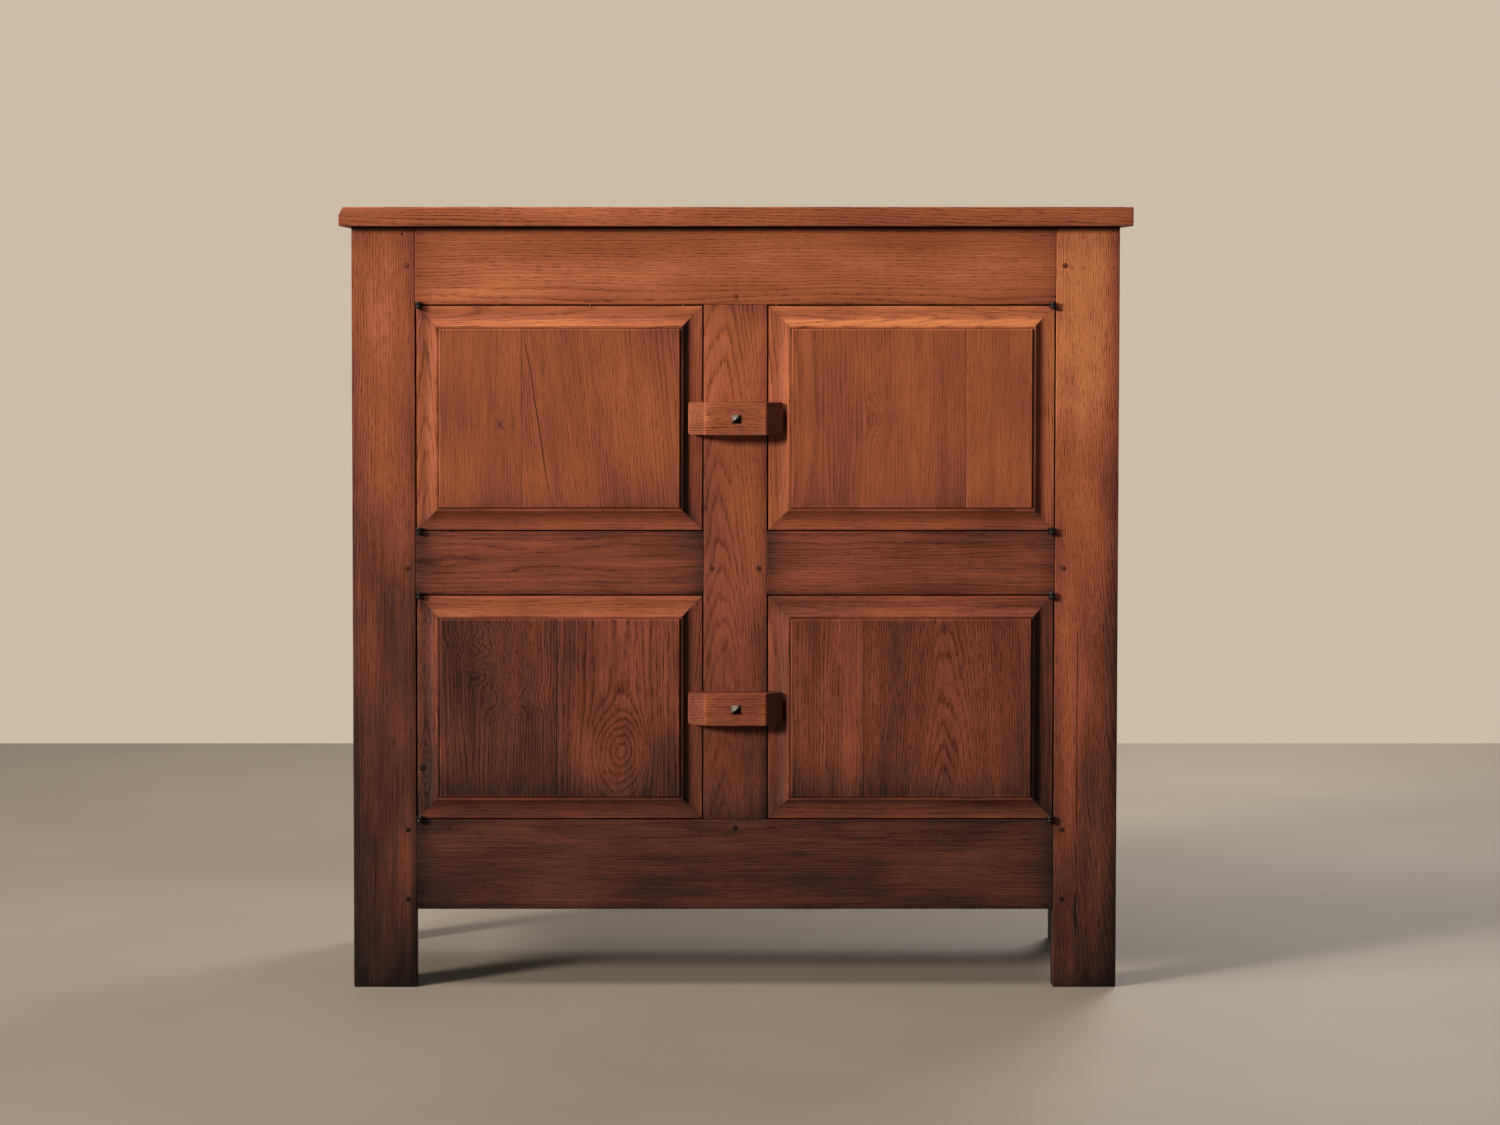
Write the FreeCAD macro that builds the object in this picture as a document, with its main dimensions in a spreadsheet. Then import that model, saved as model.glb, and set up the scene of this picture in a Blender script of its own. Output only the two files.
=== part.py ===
import FreeCAD, Part
import os
from types import SimpleNamespace

import Sketcher

# A four-door buffet cabinet in millimetres: pegged frame, mitred doors with a coved frame, turn latches and
# pivot hinges. It stands on z = 0 and x runs along its width from the middle. Every piece is drawn with y = 0 on
# the face of the front frame, growing towards the back, and placed so that the whole depth has its middle at y = 0.

SIZES = {
    # Body and front frame
    "body_width": 1184,
    "body_depth": 440,
    "foot_height": 122,
    "bottom_rail_height": 140,
    "lower_door_opening": 350,
    "middle_rail_height": 98,
    "upper_door_opening": 350,
    "top_rail_height": 120,
    "frame_thickness": 28,
    "centre_stile_width": 98,
    "front_post_width": 98,
    "front_post_thickness": 36,
    "back_post_width": 58,
    "back_post_thickness": 36,
    "post_easing": 2,
    # Top
    "top_thickness": 30,
    "top_side_overhang": 18,
    "top_front_overhang": 20,
    "front_plank_width": 150,
    "middle_plank_width": 165,
    "plank_easing": 2,
    "end_bevel_width": 7,
    "end_bevel_height": 14,
    # Sides and back
    "side_inset": 3,
    "side_rail_thickness": 24,
    "side_top_rail_height": 110,
    "side_bottom_rail_height": 130,
    "side_tenon_length": 24,
    "side_tenon_shoulder": 15,
    "side_groove_depth": 10,
    "side_panel_tongue": 8,
    "side_field_raise": 4,
    "side_field_margin": 14,
    "back_rail_thickness": 22,
    "back_top_rail_height": 90,
    "back_bottom_rail_height": 110,
    "back_tenon_thickness": 8,
    "back_tenon_length": 30,
    "back_groove_depth": 8,
    "back_board_thickness": 10,
    "board_tongue_length": 6,
    "board_tongue_thickness": 4,
    # Frame joints
    "tenon_thickness": 10,
    "tenon_length": 42,
    "tenon_shoulder": 8,
    "joint_clearance": 0.2,
    "glue_room": 1,
    "peg_diameter": 8,
    "peg_length": 30,
    "peg_setback": 13,
    "peg_edge_inset": 16,
    "middle_peg_drop": 8,
    "peg_clearance": 0.05,
    # Inside
    "shelf_thickness": 20,
    "shelf_play": 1,
    "stop_height": 8,
    "bearer_width": 24,
    "bearer_height": 30,
    "stop_strip_width": 122,
    "stop_strip_thickness": 12,
    "stop_strip_headroom": 30,
    "fixing_block_length": 60,
    "fixing_block_size": 28,
    "fixing_block_spacing": 400,
    # Doors
    "door_gap": 2,
    "door_thickness": 27,
    "door_frame_width": 35,
    "door_margin": 11,
    "cove_width": 19,
    "ridge_height": 9,
    "ridge_width": 4.2,
    "lip_thickness": 2,
    "door_groove_depth": 8,
    "door_groove_width": 8,
    "panel_play": 1,
    "panel_clearance": 0.1,
    "panel_quirk": 0.6,
    "panel_raise": 14.6,
    "door_tenon_setback": 12,
    "door_tenon_thickness": 9,
    "door_tenon_end": 7,
    "door_tenon_inset": 10,
    "door_tenon_width": 18,
    # Hinges
    "pin_inset": 3.5,
    "pin_forward": 5.8,
    "pin_diameter": 4.5,
    "pin_clearance": 0.05,
    "knuckle_diameter": 10.5,
    "knuckle_height": 5,
    "knuckle_gap": 0.3,
    "leaf_thickness": 2.5,
    "leaf_length": 55,
    "leaf_width": 16,
    "leaf_setback": 4,
    "leaf_start": 0.5,
    "leaf_clearance": 0.1,
    # Latches
    "latch_length": 146,
    "latch_height": 50,
    "latch_thickness": 32,
    "latch_face_length": 92,
    "latch_back_length": 114,
    "latch_tip_relief": 8,
    "latch_tip_thickness": 5,
    "latch_tip_radius": 4,
    "latch_gap": 0.3,
    "screw_diameter": 9,
    "screw_depth": 24,
    "screw_clearance": 0.05,
    "screw_head_width": 13.5,
    "screw_head_rim": 1.2,
    "screw_head_height": 6,
    "screw_tip_width": 1.5,
}

BACK_BOARDS = 7
SIDES = {-1: "left", 1: "right"}
CUT_MARGIN = 1.0


class Term:
    """A length kept both as a number and as the spreadsheet expression that gives it."""

    def __init__(self, number, text):
        self.number = float(number)
        self.text = text

    def join(self, sign, other, number):
        return Term(number, f"({self.text} {sign} {other.text})")

    def __add__(self, other):
        other = as_term(other)
        return self.join("+", other, self.number + other.number)

    def __sub__(self, other):
        other = as_term(other)
        return self.join("-", other, self.number - other.number)

    def __mul__(self, factor):
        factor = as_term(factor)
        return self.join("*", factor, self.number * factor.number)

    def __truediv__(self, divisor):
        divisor = as_term(divisor)
        return self.join("/", divisor, self.number / divisor.number)

    def __neg__(self):
        return Term(-self.number, f"(-{self.text})")

    def __radd__(self, other):
        return as_term(other) + self

    def __rsub__(self, other):
        return as_term(other) - self

    def __rmul__(self, factor):
        return as_term(factor) * self


def as_term(value):
    return value if isinstance(value, Term) else Term(value, f"({float(value)!r})")


doc = FreeCAD.newDocument("BuffetCabinet")
sheet = doc.addObject("Spreadsheet::Sheet", "Sizes")
for row, (name, value) in enumerate(SIZES.items(), start=1):
    sheet.set(f"A{row}", name)
    sheet.set(f"B{row}", str(value))
    sheet.setAlias(f"B{row}", name)
doc.recompute()

size = SimpleNamespace(**{name: Term(value, f"Sizes.{name}") for name, value in SIZES.items()})

# Lines of the cabinet that several pieces share
front_projection = 2 * size.latch_gap + size.latch_thickness + size.screw_head_height
face = (front_projection - size.body_depth) / 2
half_body = size.body_width / 2
opening_x = half_body - size.front_post_width
stile_x = size.centre_stile_width / 2
bottom_rail_low = size.foot_height
lower_opening_low = bottom_rail_low + size.bottom_rail_height
lower_opening_high = lower_opening_low + size.lower_door_opening
upper_opening_low = lower_opening_high + size.middle_rail_height
upper_opening_high = upper_opening_low + size.upper_door_opening
carcass_top = upper_opening_high + size.top_rail_height
middle_rail_middle = (lower_opening_high + upper_opening_low) / 2
OPENINGS = {
    "lower": (lower_opening_low, lower_opening_high),
    "upper": (upper_opening_low, upper_opening_high),
}

# Tenons of the front frame lie in the middle of its thickness
tenon_front = (size.frame_thickness - size.tenon_thickness) / 2
tenon_back = tenon_front + size.tenon_thickness
peg_hole = size.peg_diameter + 2 * size.peg_clearance

# Side frames, seen on the right: outer and inner face, tenon and panel tongue centred between them
side_outer = half_body - size.side_inset
side_inner = side_outer - size.side_rail_thickness
side_middle = (side_outer + side_inner) / 2
back_post_face = size.body_depth - size.back_post_thickness
back_post_inner = half_body - size.back_post_width
side_panel_low = size.foot_height + size.side_bottom_rail_height
side_panel_high = carcass_top - size.side_top_rail_height
SIDE_RAILS = {
    "bottom": (size.foot_height, side_panel_low),
    "top": (side_panel_high, carcass_top),
}

# Back frame: rails flush with the back posts, tenons and boards in the middle of their thickness
back_rail_face = size.body_depth - size.back_rail_thickness
back_middle = (back_rail_face + size.body_depth) / 2
back_boards_low = size.foot_height + size.back_bottom_rail_height
back_boards_high = carcass_top - size.back_top_rail_height
boards_front = back_middle - size.back_board_thickness / 2
BACK_RAILS = {
    "bottom": (size.foot_height, back_boards_low),
    "top": (back_boards_high, carcass_top),
}

# Boards inside stand a little above the rails, so that the doors stop against them
BOARD_TOPS = {
    "bottom": lower_opening_low + size.stop_height,
    "shelf": upper_opening_low + size.stop_height,
}

door_width = opening_x - stile_x - 2 * size.door_gap
pin_x = opening_x - size.door_gap - size.pin_inset

subparts = []


def bind(thing, path, value):
    thing.setExpression(path, as_term(value).text)


def place(thing, x=0, y=face, z=0):
    for axis, value in zip("xyz", (x, y, z)):
        bind(thing, f"Placement.Base.{axis}", value)


def span(side, low, high):
    """The stretch from low to high on the right, or its mirror image on the left."""
    return (low, high) if side > 0 else (-high, -low)


def rectangle(across, up):
    return [(across[0], up[0]), (across[1], up[0]), (across[1], up[1]), (across[0], up[1])]


# Sketches, pads and pockets

# A sketch on the XZ plane faces -y, the two others face along their third axis
FACING = {"XY": 1, "YZ": 1, "XZ": -1}


def new_body(label):
    body = doc.addObject("PartDesign::Body", label)
    body.Label = label
    return body


def new_sketch(body, plane, at):
    sketch = body.newObject("Sketcher::SketchObject", f"{body.Name}_sketch")
    support = next(feature for feature in body.Origin.OriginFeatures if feature.Role == f"{plane}_Plane")
    sketch.AttachmentSupport = [(support, "")]
    sketch.MapMode = "FlatFace"
    bind(sketch, "AttachmentOffset.Base.z", FACING[plane] * as_term(at))
    return sketch


def hold(sketch, kind, where, value):
    """Adds one distance that follows its expression."""
    number = as_term(value).number
    index = sketch.addConstraint(Sketcher.Constraint(kind, *where, number))
    bind(sketch, f"Constraints[{index}]", value)


def hold_point(sketch, where, point):
    hold(sketch, "DistanceX", where, point[0])
    hold(sketch, "DistanceY", where, point[1])


def vector(point):
    return FreeCAD.Vector(as_term(point[0]).number, as_term(point[1]).number, 0)


def draw_polygon(sketch, corners):
    first = sketch.GeometryCount
    count = len(corners)
    for index in range(count):
        start = vector(corners[index])
        end = vector(corners[(index + 1) % count])
        sketch.addGeometry(Part.LineSegment(start, end))
    for index in range(count):
        following = first + (index + 1) % count
        sketch.addConstraint(Sketcher.Constraint("Coincident", first + index, 2, following, 1))
        hold_point(sketch, (first + index, 1), corners[index])


def draw_circle(sketch, centre, diameter):
    radius = as_term(diameter).number / 2
    circle = sketch.addGeometry(Part.Circle(vector(centre), FreeCAD.Vector(0, 0, 1), radius))
    hold_point(sketch, (circle, 3), centre)
    hold(sketch, "Diameter", (circle,), diameter)


def extrude(kind, body, plane, reach, polygons=(), circles=()):
    """A Pad or Pocket of the outlines between two planes, given as a low and a high coordinate."""
    low, high = reach
    sketch = new_sketch(body, plane, low)
    for corners in polygons:
        draw_polygon(sketch, corners)
    for centre, diameter in circles:
        draw_circle(sketch, centre, diameter)
    feature = body.newObject(f"PartDesign::{kind}", f"{body.Name}_{kind.lower()}")
    feature.Profile = sketch
    bind(feature, "Length", high - as_term(low))
    feature.Reversed = (FACING[plane] < 0) == (kind == "Pad")
    return feature


def pad(body, plane, reach, polygons=(), circles=()):
    return extrude("Pad", body, plane, reach, polygons, circles)


def pocket(body, plane, reach, polygons=(), circles=()):
    return extrude("Pocket", body, plane, reach, polygons, circles)


# Primitives, booleans and groups


def box(name, across, along, up):
    solid = doc.addObject("Part::Box", name)
    for edge, low, high in zip(("Length", "Width", "Height"), *zip(across, along, up)):
        bind(solid, edge, high - as_term(low))
    place(solid, across[0], face + along[0], up[0])
    return solid


def cylinder(name, diameter, length, start, axis):
    """A cylinder from its start point along the axis, x, y or z."""
    turns = {"x": ((0, 1, 0), 90), "y": ((1, 0, 0), -90), "z": ((0, 0, 1), 0)}
    solid = doc.addObject("Part::Cylinder", name)
    bind(solid, "Radius", diameter / 2)
    bind(solid, "Height", length)
    direction, angle = turns[axis]
    solid.Placement.Rotation = FreeCAD.Rotation(FreeCAD.Vector(*direction), angle)
    place(solid, start[0], face + start[1], start[2])
    return solid


def fuse(name, solids):
    result = doc.addObject("Part::MultiFuse", name)
    result.Shapes = solids
    result.Refine = True
    return result


def cut(name, base, tool):
    result = doc.addObject("Part::Cut", name)
    result.Base = base
    result.Tool = tool
    return result


def group(label, solids):
    result = doc.addObject("Part::Compound", label)
    result.Label = label
    result.Links = solids
    subparts.append(result)
    return result


def keep(body):
    place(body)
    subparts.append(body)


# Where the pegs of the frames stand


def post_pegs(side):
    """Pegs of the front rails in one front post, as x and z."""
    x = side * (opening_x + size.peg_setback)
    return {
        "top": [(x, upper_opening_high + size.top_rail_height / 2)],
        "middle": [(x, middle_rail_middle - size.middle_peg_drop)],
        "bottom": [
            (x, bottom_rail_low + size.peg_edge_inset),
            (x, lower_opening_low - size.peg_edge_inset),
        ],
    }


def stile_peg(side):
    """Peg of one middle rail in the centre stile."""
    return (side * (stile_x - size.peg_setback), middle_rail_middle - size.middle_peg_drop)


STILE_TOP_PEG = (0, upper_opening_high + size.peg_setback)
STILE_BOTTOM_PEG = (0, lower_opening_low - size.peg_setback)


def side_pegs(rail):
    """Pegs of one side rail, as y and z, in the front and the back post."""
    low, high = SIDE_RAILS[rail]
    front = size.front_post_thickness - size.peg_setback
    back = back_post_face + size.peg_setback
    inset = size.side_tenon_shoulder + size.peg_edge_inset
    return [(y, z) for y in (front, back) for z in (low + inset, high - inset)]


def back_peg(side, rail):
    low, high = BACK_RAILS[rail]
    return (side * (back_post_inner + size.peg_setback), (low + high) / 2)


def round_holes(points):
    return [(point, peg_hole) for point in points]


def tenon_height(low, high, shoulder, clearance=0):
    return (low + shoulder - clearance, high - shoulder + clearance)


# Hinge leaves: a plate let into an edge, with a neck that runs forward to the knuckle


def leaf_plan(pin, inward, clearance, front):
    """Outline of plate and neck from above; inward is the sign of the way from pin to door middle."""
    near = pin + inward * (size.leaf_start - clearance)
    neck = pin + inward * (size.knuckle_diameter / 2 + clearance)
    far = pin + inward * (size.leaf_start + size.leaf_length + clearance)
    step = size.leaf_setback - clearance
    back = size.leaf_setback + size.leaf_width + clearance
    return [(near, front), (neck, front), (neck, step), (far, step), (far, back), (near, back)]


def frame_recess(body, sides, low, high):
    recesses = [leaf_plan(side * pin_x, -side, size.leaf_clearance, -CUT_MARGIN) for side in sides]
    pocket(body, "XY", (low, high), recesses)


# Posts


def side_joints(body, side, face_y, into):
    """Mortises and panel groove of one post for its side frame, cut from face_y in the direction into."""
    half_tenon = size.tenon_thickness / 2 + size.joint_clearance
    depth = face_y + into * (size.side_tenon_length + size.glue_room)
    outside = face_y - into * CUT_MARGIN
    mortises = []
    for low, high in SIDE_RAILS.values():
        height = tenon_height(low, high, size.side_tenon_shoulder, size.joint_clearance)
        mortises.append(rectangle((outside, depth), height))
    pocket(body, "YZ", span(side, side_middle - half_tenon, side_middle + half_tenon), mortises)
    half_tongue = size.side_panel_tongue / 2 + size.panel_clearance
    groove = face_y + into * size.side_groove_depth
    height = (side_panel_low - size.side_groove_depth, side_panel_high + size.side_groove_depth)
    reach = span(side, side_middle - half_tongue, side_middle + half_tongue)
    pocket(body, "YZ", reach, [rectangle((outside, groove), height)])


def side_peg_holes(body, side, at_back):
    points = []
    for rail in SIDE_RAILS:
        pegs = side_pegs(rail)
        points += pegs[2:] if at_back else pegs[:2]
    pocket(body, "YZ", span(side, half_body - size.peg_length, half_body), circles=round_holes(points))


def front_post(side):
    body = new_body(f"front_{SIDES[side]}_post")
    inner = side * opening_x
    outer = side * half_body
    eased = outer - side * size.post_easing
    back = size.front_post_thickness
    section = [
        (inner, 0),
        (eased, 0),
        (outer, size.post_easing),
        (outer, back - size.post_easing),
        (eased, back),
        (inner, back),
    ]
    pad(body, "XY", (0, carcass_top), [section])
    depth = (inner - side * CUT_MARGIN, inner + side * (size.tenon_length + size.glue_room))
    rails = [
        (bottom_rail_low, lower_opening_low),
        (lower_opening_high, upper_opening_low),
        (upper_opening_high, carcass_top),
    ]
    mortises = []
    for low, high in rails:
        height = tenon_height(low, high, size.tenon_shoulder, size.joint_clearance)
        mortises.append(rectangle(depth, height))
    reach = (tenon_front - size.joint_clearance, tenon_back + size.joint_clearance)
    pocket(body, "XZ", reach, mortises)
    pegs = sum(post_pegs(side).values(), [])
    pocket(body, "XZ", (0, size.peg_length), circles=round_holes(pegs))
    side_joints(body, side, size.front_post_thickness, -1)
    side_peg_holes(body, side, at_back=False)
    keep(body)


def back_post(side):
    body = new_body(f"back_{SIDES[side]}_post")
    inner = side * back_post_inner
    outer = side * half_body
    eased = outer - side * size.post_easing
    section = [
        (inner, back_post_face),
        (eased, back_post_face),
        (outer, back_post_face + size.post_easing),
        (outer, size.body_depth - size.post_easing),
        (eased, size.body_depth),
        (inner, size.body_depth),
    ]
    pad(body, "XY", (0, carcass_top), [section])
    side_joints(body, side, back_post_face, 1)
    side_peg_holes(body, side, at_back=True)
    half_tenon = size.back_tenon_thickness / 2 + size.joint_clearance
    outside = inner - side * CUT_MARGIN
    depth = (outside, inner + side * (size.back_tenon_length + size.glue_room))
    mortises = []
    for low, high in BACK_RAILS.values():
        height = tenon_height(low, high, size.side_tenon_shoulder, size.joint_clearance)
        mortises.append(rectangle(depth, height))
    pocket(body, "XZ", (back_middle - half_tenon, back_middle + half_tenon), mortises)
    half_board = size.back_board_thickness / 2 + size.panel_clearance
    groove = (outside, inner + side * size.back_groove_depth)
    height = (back_boards_low - size.back_groove_depth, back_boards_high + size.back_groove_depth)
    pocket(body, "XZ", (back_middle - half_board, back_middle + half_board), [rectangle(groove, height)])
    pegs = [back_peg(side, rail) for rail in BACK_RAILS]
    pocket(body, "XZ", (back_rail_face, size.body_depth), circles=round_holes(pegs))
    keep(body)


# Front frame


def front_rail(label, low, high, pegs):
    """A rail across the whole front with a tenon in each post, and its body for further cuts."""
    body = new_body(label)
    pad(body, "XZ", (0, size.frame_thickness), [rectangle((-opening_x, opening_x), (low, high))])
    reach = opening_x + size.tenon_length
    tenon = rectangle((-reach, reach), tenon_height(low, high, size.tenon_shoulder))
    pad(body, "XZ", (tenon_front, tenon_back), [tenon])
    pocket(body, "XZ", (tenon_front, tenon_back), circles=round_holes(pegs))
    return body


def stile_mortise(body, low, high, peg):
    """Mortise for the centre stile's tenon, with its peg hole from the front."""
    half_tenon = stile_x - size.tenon_shoulder + size.joint_clearance
    reach = (tenon_front - size.joint_clearance, tenon_back + size.joint_clearance)
    pocket(body, "XZ", reach, [rectangle((-half_tenon, half_tenon), (low, high))])
    pocket(body, "XZ", (0, size.frame_thickness), circles=round_holes([peg]))


def front_top_rail():
    pegs = sum((post_pegs(side)["top"] for side in SIDES), [])
    body = front_rail("front_top_rail", upper_opening_high, carcass_top, pegs)
    depth = upper_opening_high + size.tenon_length + size.glue_room
    stile_mortise(body, upper_opening_high - CUT_MARGIN, depth, STILE_TOP_PEG)
    frame_recess(body, SIDES, upper_opening_high, upper_opening_high + size.leaf_thickness)
    keep(body)


def front_bottom_rail():
    pegs = sum((post_pegs(side)["bottom"] for side in SIDES), [])
    body = front_rail("front_bottom_rail", bottom_rail_low, lower_opening_low, pegs)
    depth = lower_opening_low - size.tenon_length - size.glue_room
    stile_mortise(body, depth, lower_opening_low + CUT_MARGIN, STILE_BOTTOM_PEG)
    frame_recess(body, SIDES, lower_opening_low - size.leaf_thickness, lower_opening_low)
    keep(body)


def middle_rail(side):
    body = new_body(f"{SIDES[side]}_middle_rail")
    low, high = lower_opening_high, upper_opening_low
    length = span(side, stile_x, opening_x)
    pad(body, "XZ", (0, size.frame_thickness), [rectangle(length, (low, high))])
    reach = span(side, stile_x - size.tenon_length, opening_x + size.tenon_length)
    tenon = rectangle(reach, tenon_height(low, high, size.tenon_shoulder))
    pad(body, "XZ", (tenon_front, tenon_back), [tenon])
    pegs = post_pegs(side)["middle"] + [stile_peg(side)]
    pocket(body, "XZ", (tenon_front, tenon_back), circles=round_holes(pegs))
    frame_recess(body, [side], low, low + size.leaf_thickness)
    frame_recess(body, [side], high - size.leaf_thickness, high)
    keep(body)


def latch_heights():
    return {level: (low + high) / 2 for level, (low, high) in OPENINGS.items()}


def centre_stile():
    body = new_body("centre_stile")
    width = (-stile_x, stile_x)
    pad(body, "XZ", (0, size.frame_thickness), [rectangle(width, (lower_opening_low, upper_opening_high))])
    half_tenon = stile_x - size.tenon_shoulder
    reach = (lower_opening_low - size.tenon_length, upper_opening_high + size.tenon_length)
    pad(body, "XZ", (tenon_front, tenon_back), [rectangle((-half_tenon, half_tenon), reach)])
    pocket(body, "XZ", (tenon_front, tenon_back), circles=round_holes([STILE_TOP_PEG, STILE_BOTTOM_PEG]))
    height = tenon_height(lower_opening_high, upper_opening_low, size.tenon_shoulder, size.joint_clearance)
    mortises = []
    for side in SIDES:
        depth = stile_x - size.tenon_length - size.glue_room
        mortises.append(rectangle(span(side, depth, stile_x + CUT_MARGIN), height))
    pocket(body, "XZ", (tenon_front - size.joint_clearance, tenon_back + size.joint_clearance), mortises)
    pegs = [stile_peg(side) for side in SIDES]
    pocket(body, "XZ", (0, size.frame_thickness), circles=round_holes(pegs))
    bore = size.screw_diameter + 2 * size.screw_clearance
    screws = [((0, height), bore) for height in latch_heights().values()]
    pocket(body, "XZ", (0, size.screw_depth + size.glue_room), circles=screws)
    keep(body)


# Side and back frames


def side_rail(side, rail):
    body = new_body(f"{SIDES[side]}_side_{rail}_rail")
    low, high = SIDE_RAILS[rail]
    front, back = size.front_post_thickness, back_post_face
    pad(body, "YZ", span(side, side_inner, side_outer), [rectangle((front, back), (low, high))])
    half_tenon = size.tenon_thickness / 2
    reach = (front - size.side_tenon_length, back + size.side_tenon_length)
    tenon = rectangle(reach, tenon_height(low, high, size.side_tenon_shoulder))
    thickness = span(side, side_middle - half_tenon, side_middle + half_tenon)
    pad(body, "YZ", thickness, [tenon])
    pocket(body, "YZ", thickness, circles=round_holes(side_pegs(rail)))
    half_tongue = size.side_panel_tongue / 2 + size.panel_clearance
    groove = {
        "bottom": (high - size.side_groove_depth, high + CUT_MARGIN),
        "top": (low - CUT_MARGIN, low + size.side_groove_depth),
    }[rail]
    width = span(side, side_middle - half_tongue, side_middle + half_tongue)
    pocket(body, "YZ", width, [rectangle((front, back), groove)])
    keep(body)


def side_panel(side):
    """Floating panel whose raised field faces outwards."""
    body = new_body(f"{SIDES[side]}_side_panel")
    half_tongue = size.side_panel_tongue / 2
    reach = size.side_groove_depth - size.panel_play
    along = (size.front_post_thickness - reach, back_post_face + reach)
    up = (side_panel_low - reach, side_panel_high + reach)
    pad(body, "YZ", span(side, side_middle - half_tongue, side_middle + half_tongue), [rectangle(along, up)])
    margin = size.side_field_margin
    along = (size.front_post_thickness + margin, back_post_face - margin)
    up = (side_panel_low + margin, side_panel_high - margin)
    tongue_face = side_middle + half_tongue
    pad(body, "YZ", span(side, tongue_face, tongue_face + size.side_field_raise), [rectangle(along, up)])
    keep(body)


def back_rail(rail):
    body = new_body(f"back_{rail}_rail")
    low, high = BACK_RAILS[rail]
    length = (-back_post_inner, back_post_inner)
    pad(body, "XZ", (back_rail_face, size.body_depth), [rectangle(length, (low, high))])
    half_tenon = size.back_tenon_thickness / 2
    tip = back_post_inner + size.back_tenon_length
    tenon = rectangle((-tip, tip), tenon_height(low, high, size.side_tenon_shoulder))
    thickness = (back_middle - half_tenon, back_middle + half_tenon)
    pad(body, "XZ", thickness, [tenon])
    pegs = [back_peg(side, rail) for side in SIDES]
    pocket(body, "XZ", thickness, circles=round_holes(pegs))
    half_board = size.back_board_thickness / 2 + size.panel_clearance
    groove = {
        "bottom": (high - size.back_groove_depth, high + CUT_MARGIN),
        "top": (low - CUT_MARGIN, low + size.back_groove_depth),
    }[rail]
    width = (back_middle - half_board, back_middle + half_board)
    pocket(body, "XZ", width, [rectangle(length, groove)])
    keep(body)


def back_boards():
    """Vertical boards, each with a tongue on its right edge and a groove on its left edge."""
    reach = size.back_groove_depth - size.panel_play
    half_run = back_post_inner + reach
    width = 2 * half_run / BACK_BOARDS
    front, back = boards_front, boards_front + size.back_board_thickness
    half_tongue = size.board_tongue_thickness / 2
    half_slot = half_tongue + size.panel_clearance
    length = (back_boards_low - reach, back_boards_high + reach)
    boards = []
    for index in range(BACK_BOARDS):
        body = new_body(f"back_board_{index + 1}")
        left = index * width - half_run
        right = left + width
        bottom = left + size.board_tongue_length + size.panel_clearance
        tip = right + size.board_tongue_length
        outline = [(left, front), (right, front)]
        if index < BACK_BOARDS - 1:
            outline += [(right, back_middle - half_tongue), (tip, back_middle - half_tongue)]
            outline += [(tip, back_middle + half_tongue), (right, back_middle + half_tongue)]
        outline += [(right, back), (left, back)]
        if index > 0:
            outline += [(left, back_middle + half_slot), (bottom, back_middle + half_slot)]
            outline += [(bottom, back_middle - half_slot), (left, back_middle - half_slot)]
        pad(body, "XY", length, [outline])
        place(body)
        boards.append(body)
    group("back_boards", boards)


# Boards, bearers, stop strip and blocks inside


def lying_boards(label, top):
    """Three boards along the width, notched round the posts and the stop strip."""
    play = size.shelf_play
    front = size.frame_thickness
    back = boards_front - play
    third = (back - front) / 3
    end = side_inner - play
    reach = (top - size.shelf_thickness, top)
    boards = []
    for index, place_name in enumerate(("front", "middle", "rear")):
        body = new_body(f"{label}_{place_name}")
        along = (front + index * third, front + (index + 1) * third)
        pad(body, "XY", reach, [rectangle((-end, end), along)])
        notches = []
        if place_name == "front":
            depth = (front - CUT_MARGIN, size.front_post_thickness + play)
            post = opening_x - play
            notches += [rectangle(span(side, post, end + CUT_MARGIN), depth) for side in SIDES]
            half_strip = size.stop_strip_width / 2 + play
            strip = (front - CUT_MARGIN, front + size.stop_strip_thickness + play)
            notches.append(rectangle((-half_strip, half_strip), strip))
        if place_name == "rear":
            depth = (back_post_face - play, back + CUT_MARGIN)
            post = back_post_inner - play
            notches += [rectangle(span(side, post, end + CUT_MARGIN), depth) for side in SIDES]
        if notches:
            pocket(body, "XY", reach, notches)
        place(body)
        boards.append(body)
    group(label, boards)


def bearers(label, top):
    """Battens under the boards: at each side between the posts, behind the front frame and along the back."""
    high = top - size.shelf_thickness
    up = (high - size.bearer_height, high)
    between_posts = (size.front_post_thickness, back_post_face)
    front = (size.frame_thickness, size.frame_thickness + size.bearer_width)
    rear = (back_rail_face - size.bearer_width, back_rail_face)
    solids = []
    for side in SIDES:
        across = span(side, side_inner - size.bearer_width, side_inner)
        solids.append(box(f"{label}_{SIDES[side]}", across, between_posts, up))
        beside_strip = span(side, size.stop_strip_width / 2, opening_x)
        solids.append(box(f"{label}_front_{SIDES[side]}", beside_strip, front, up))
    solids.append(box(f"{label}_rear", (-back_post_inner, back_post_inner), rear, up))
    group(label, solids)


def door_stop_strip():
    """Strip behind the centre stile that the doors' free edges close against."""
    half = size.stop_strip_width / 2
    depth = (size.frame_thickness, size.frame_thickness + size.stop_strip_thickness)
    up = (BOARD_TOPS["bottom"], carcass_top - size.stop_strip_headroom)
    body = new_body("door_stop_strip")
    pad(body, "XZ", depth, [rectangle((-half, half), up)])
    keep(body)


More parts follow.
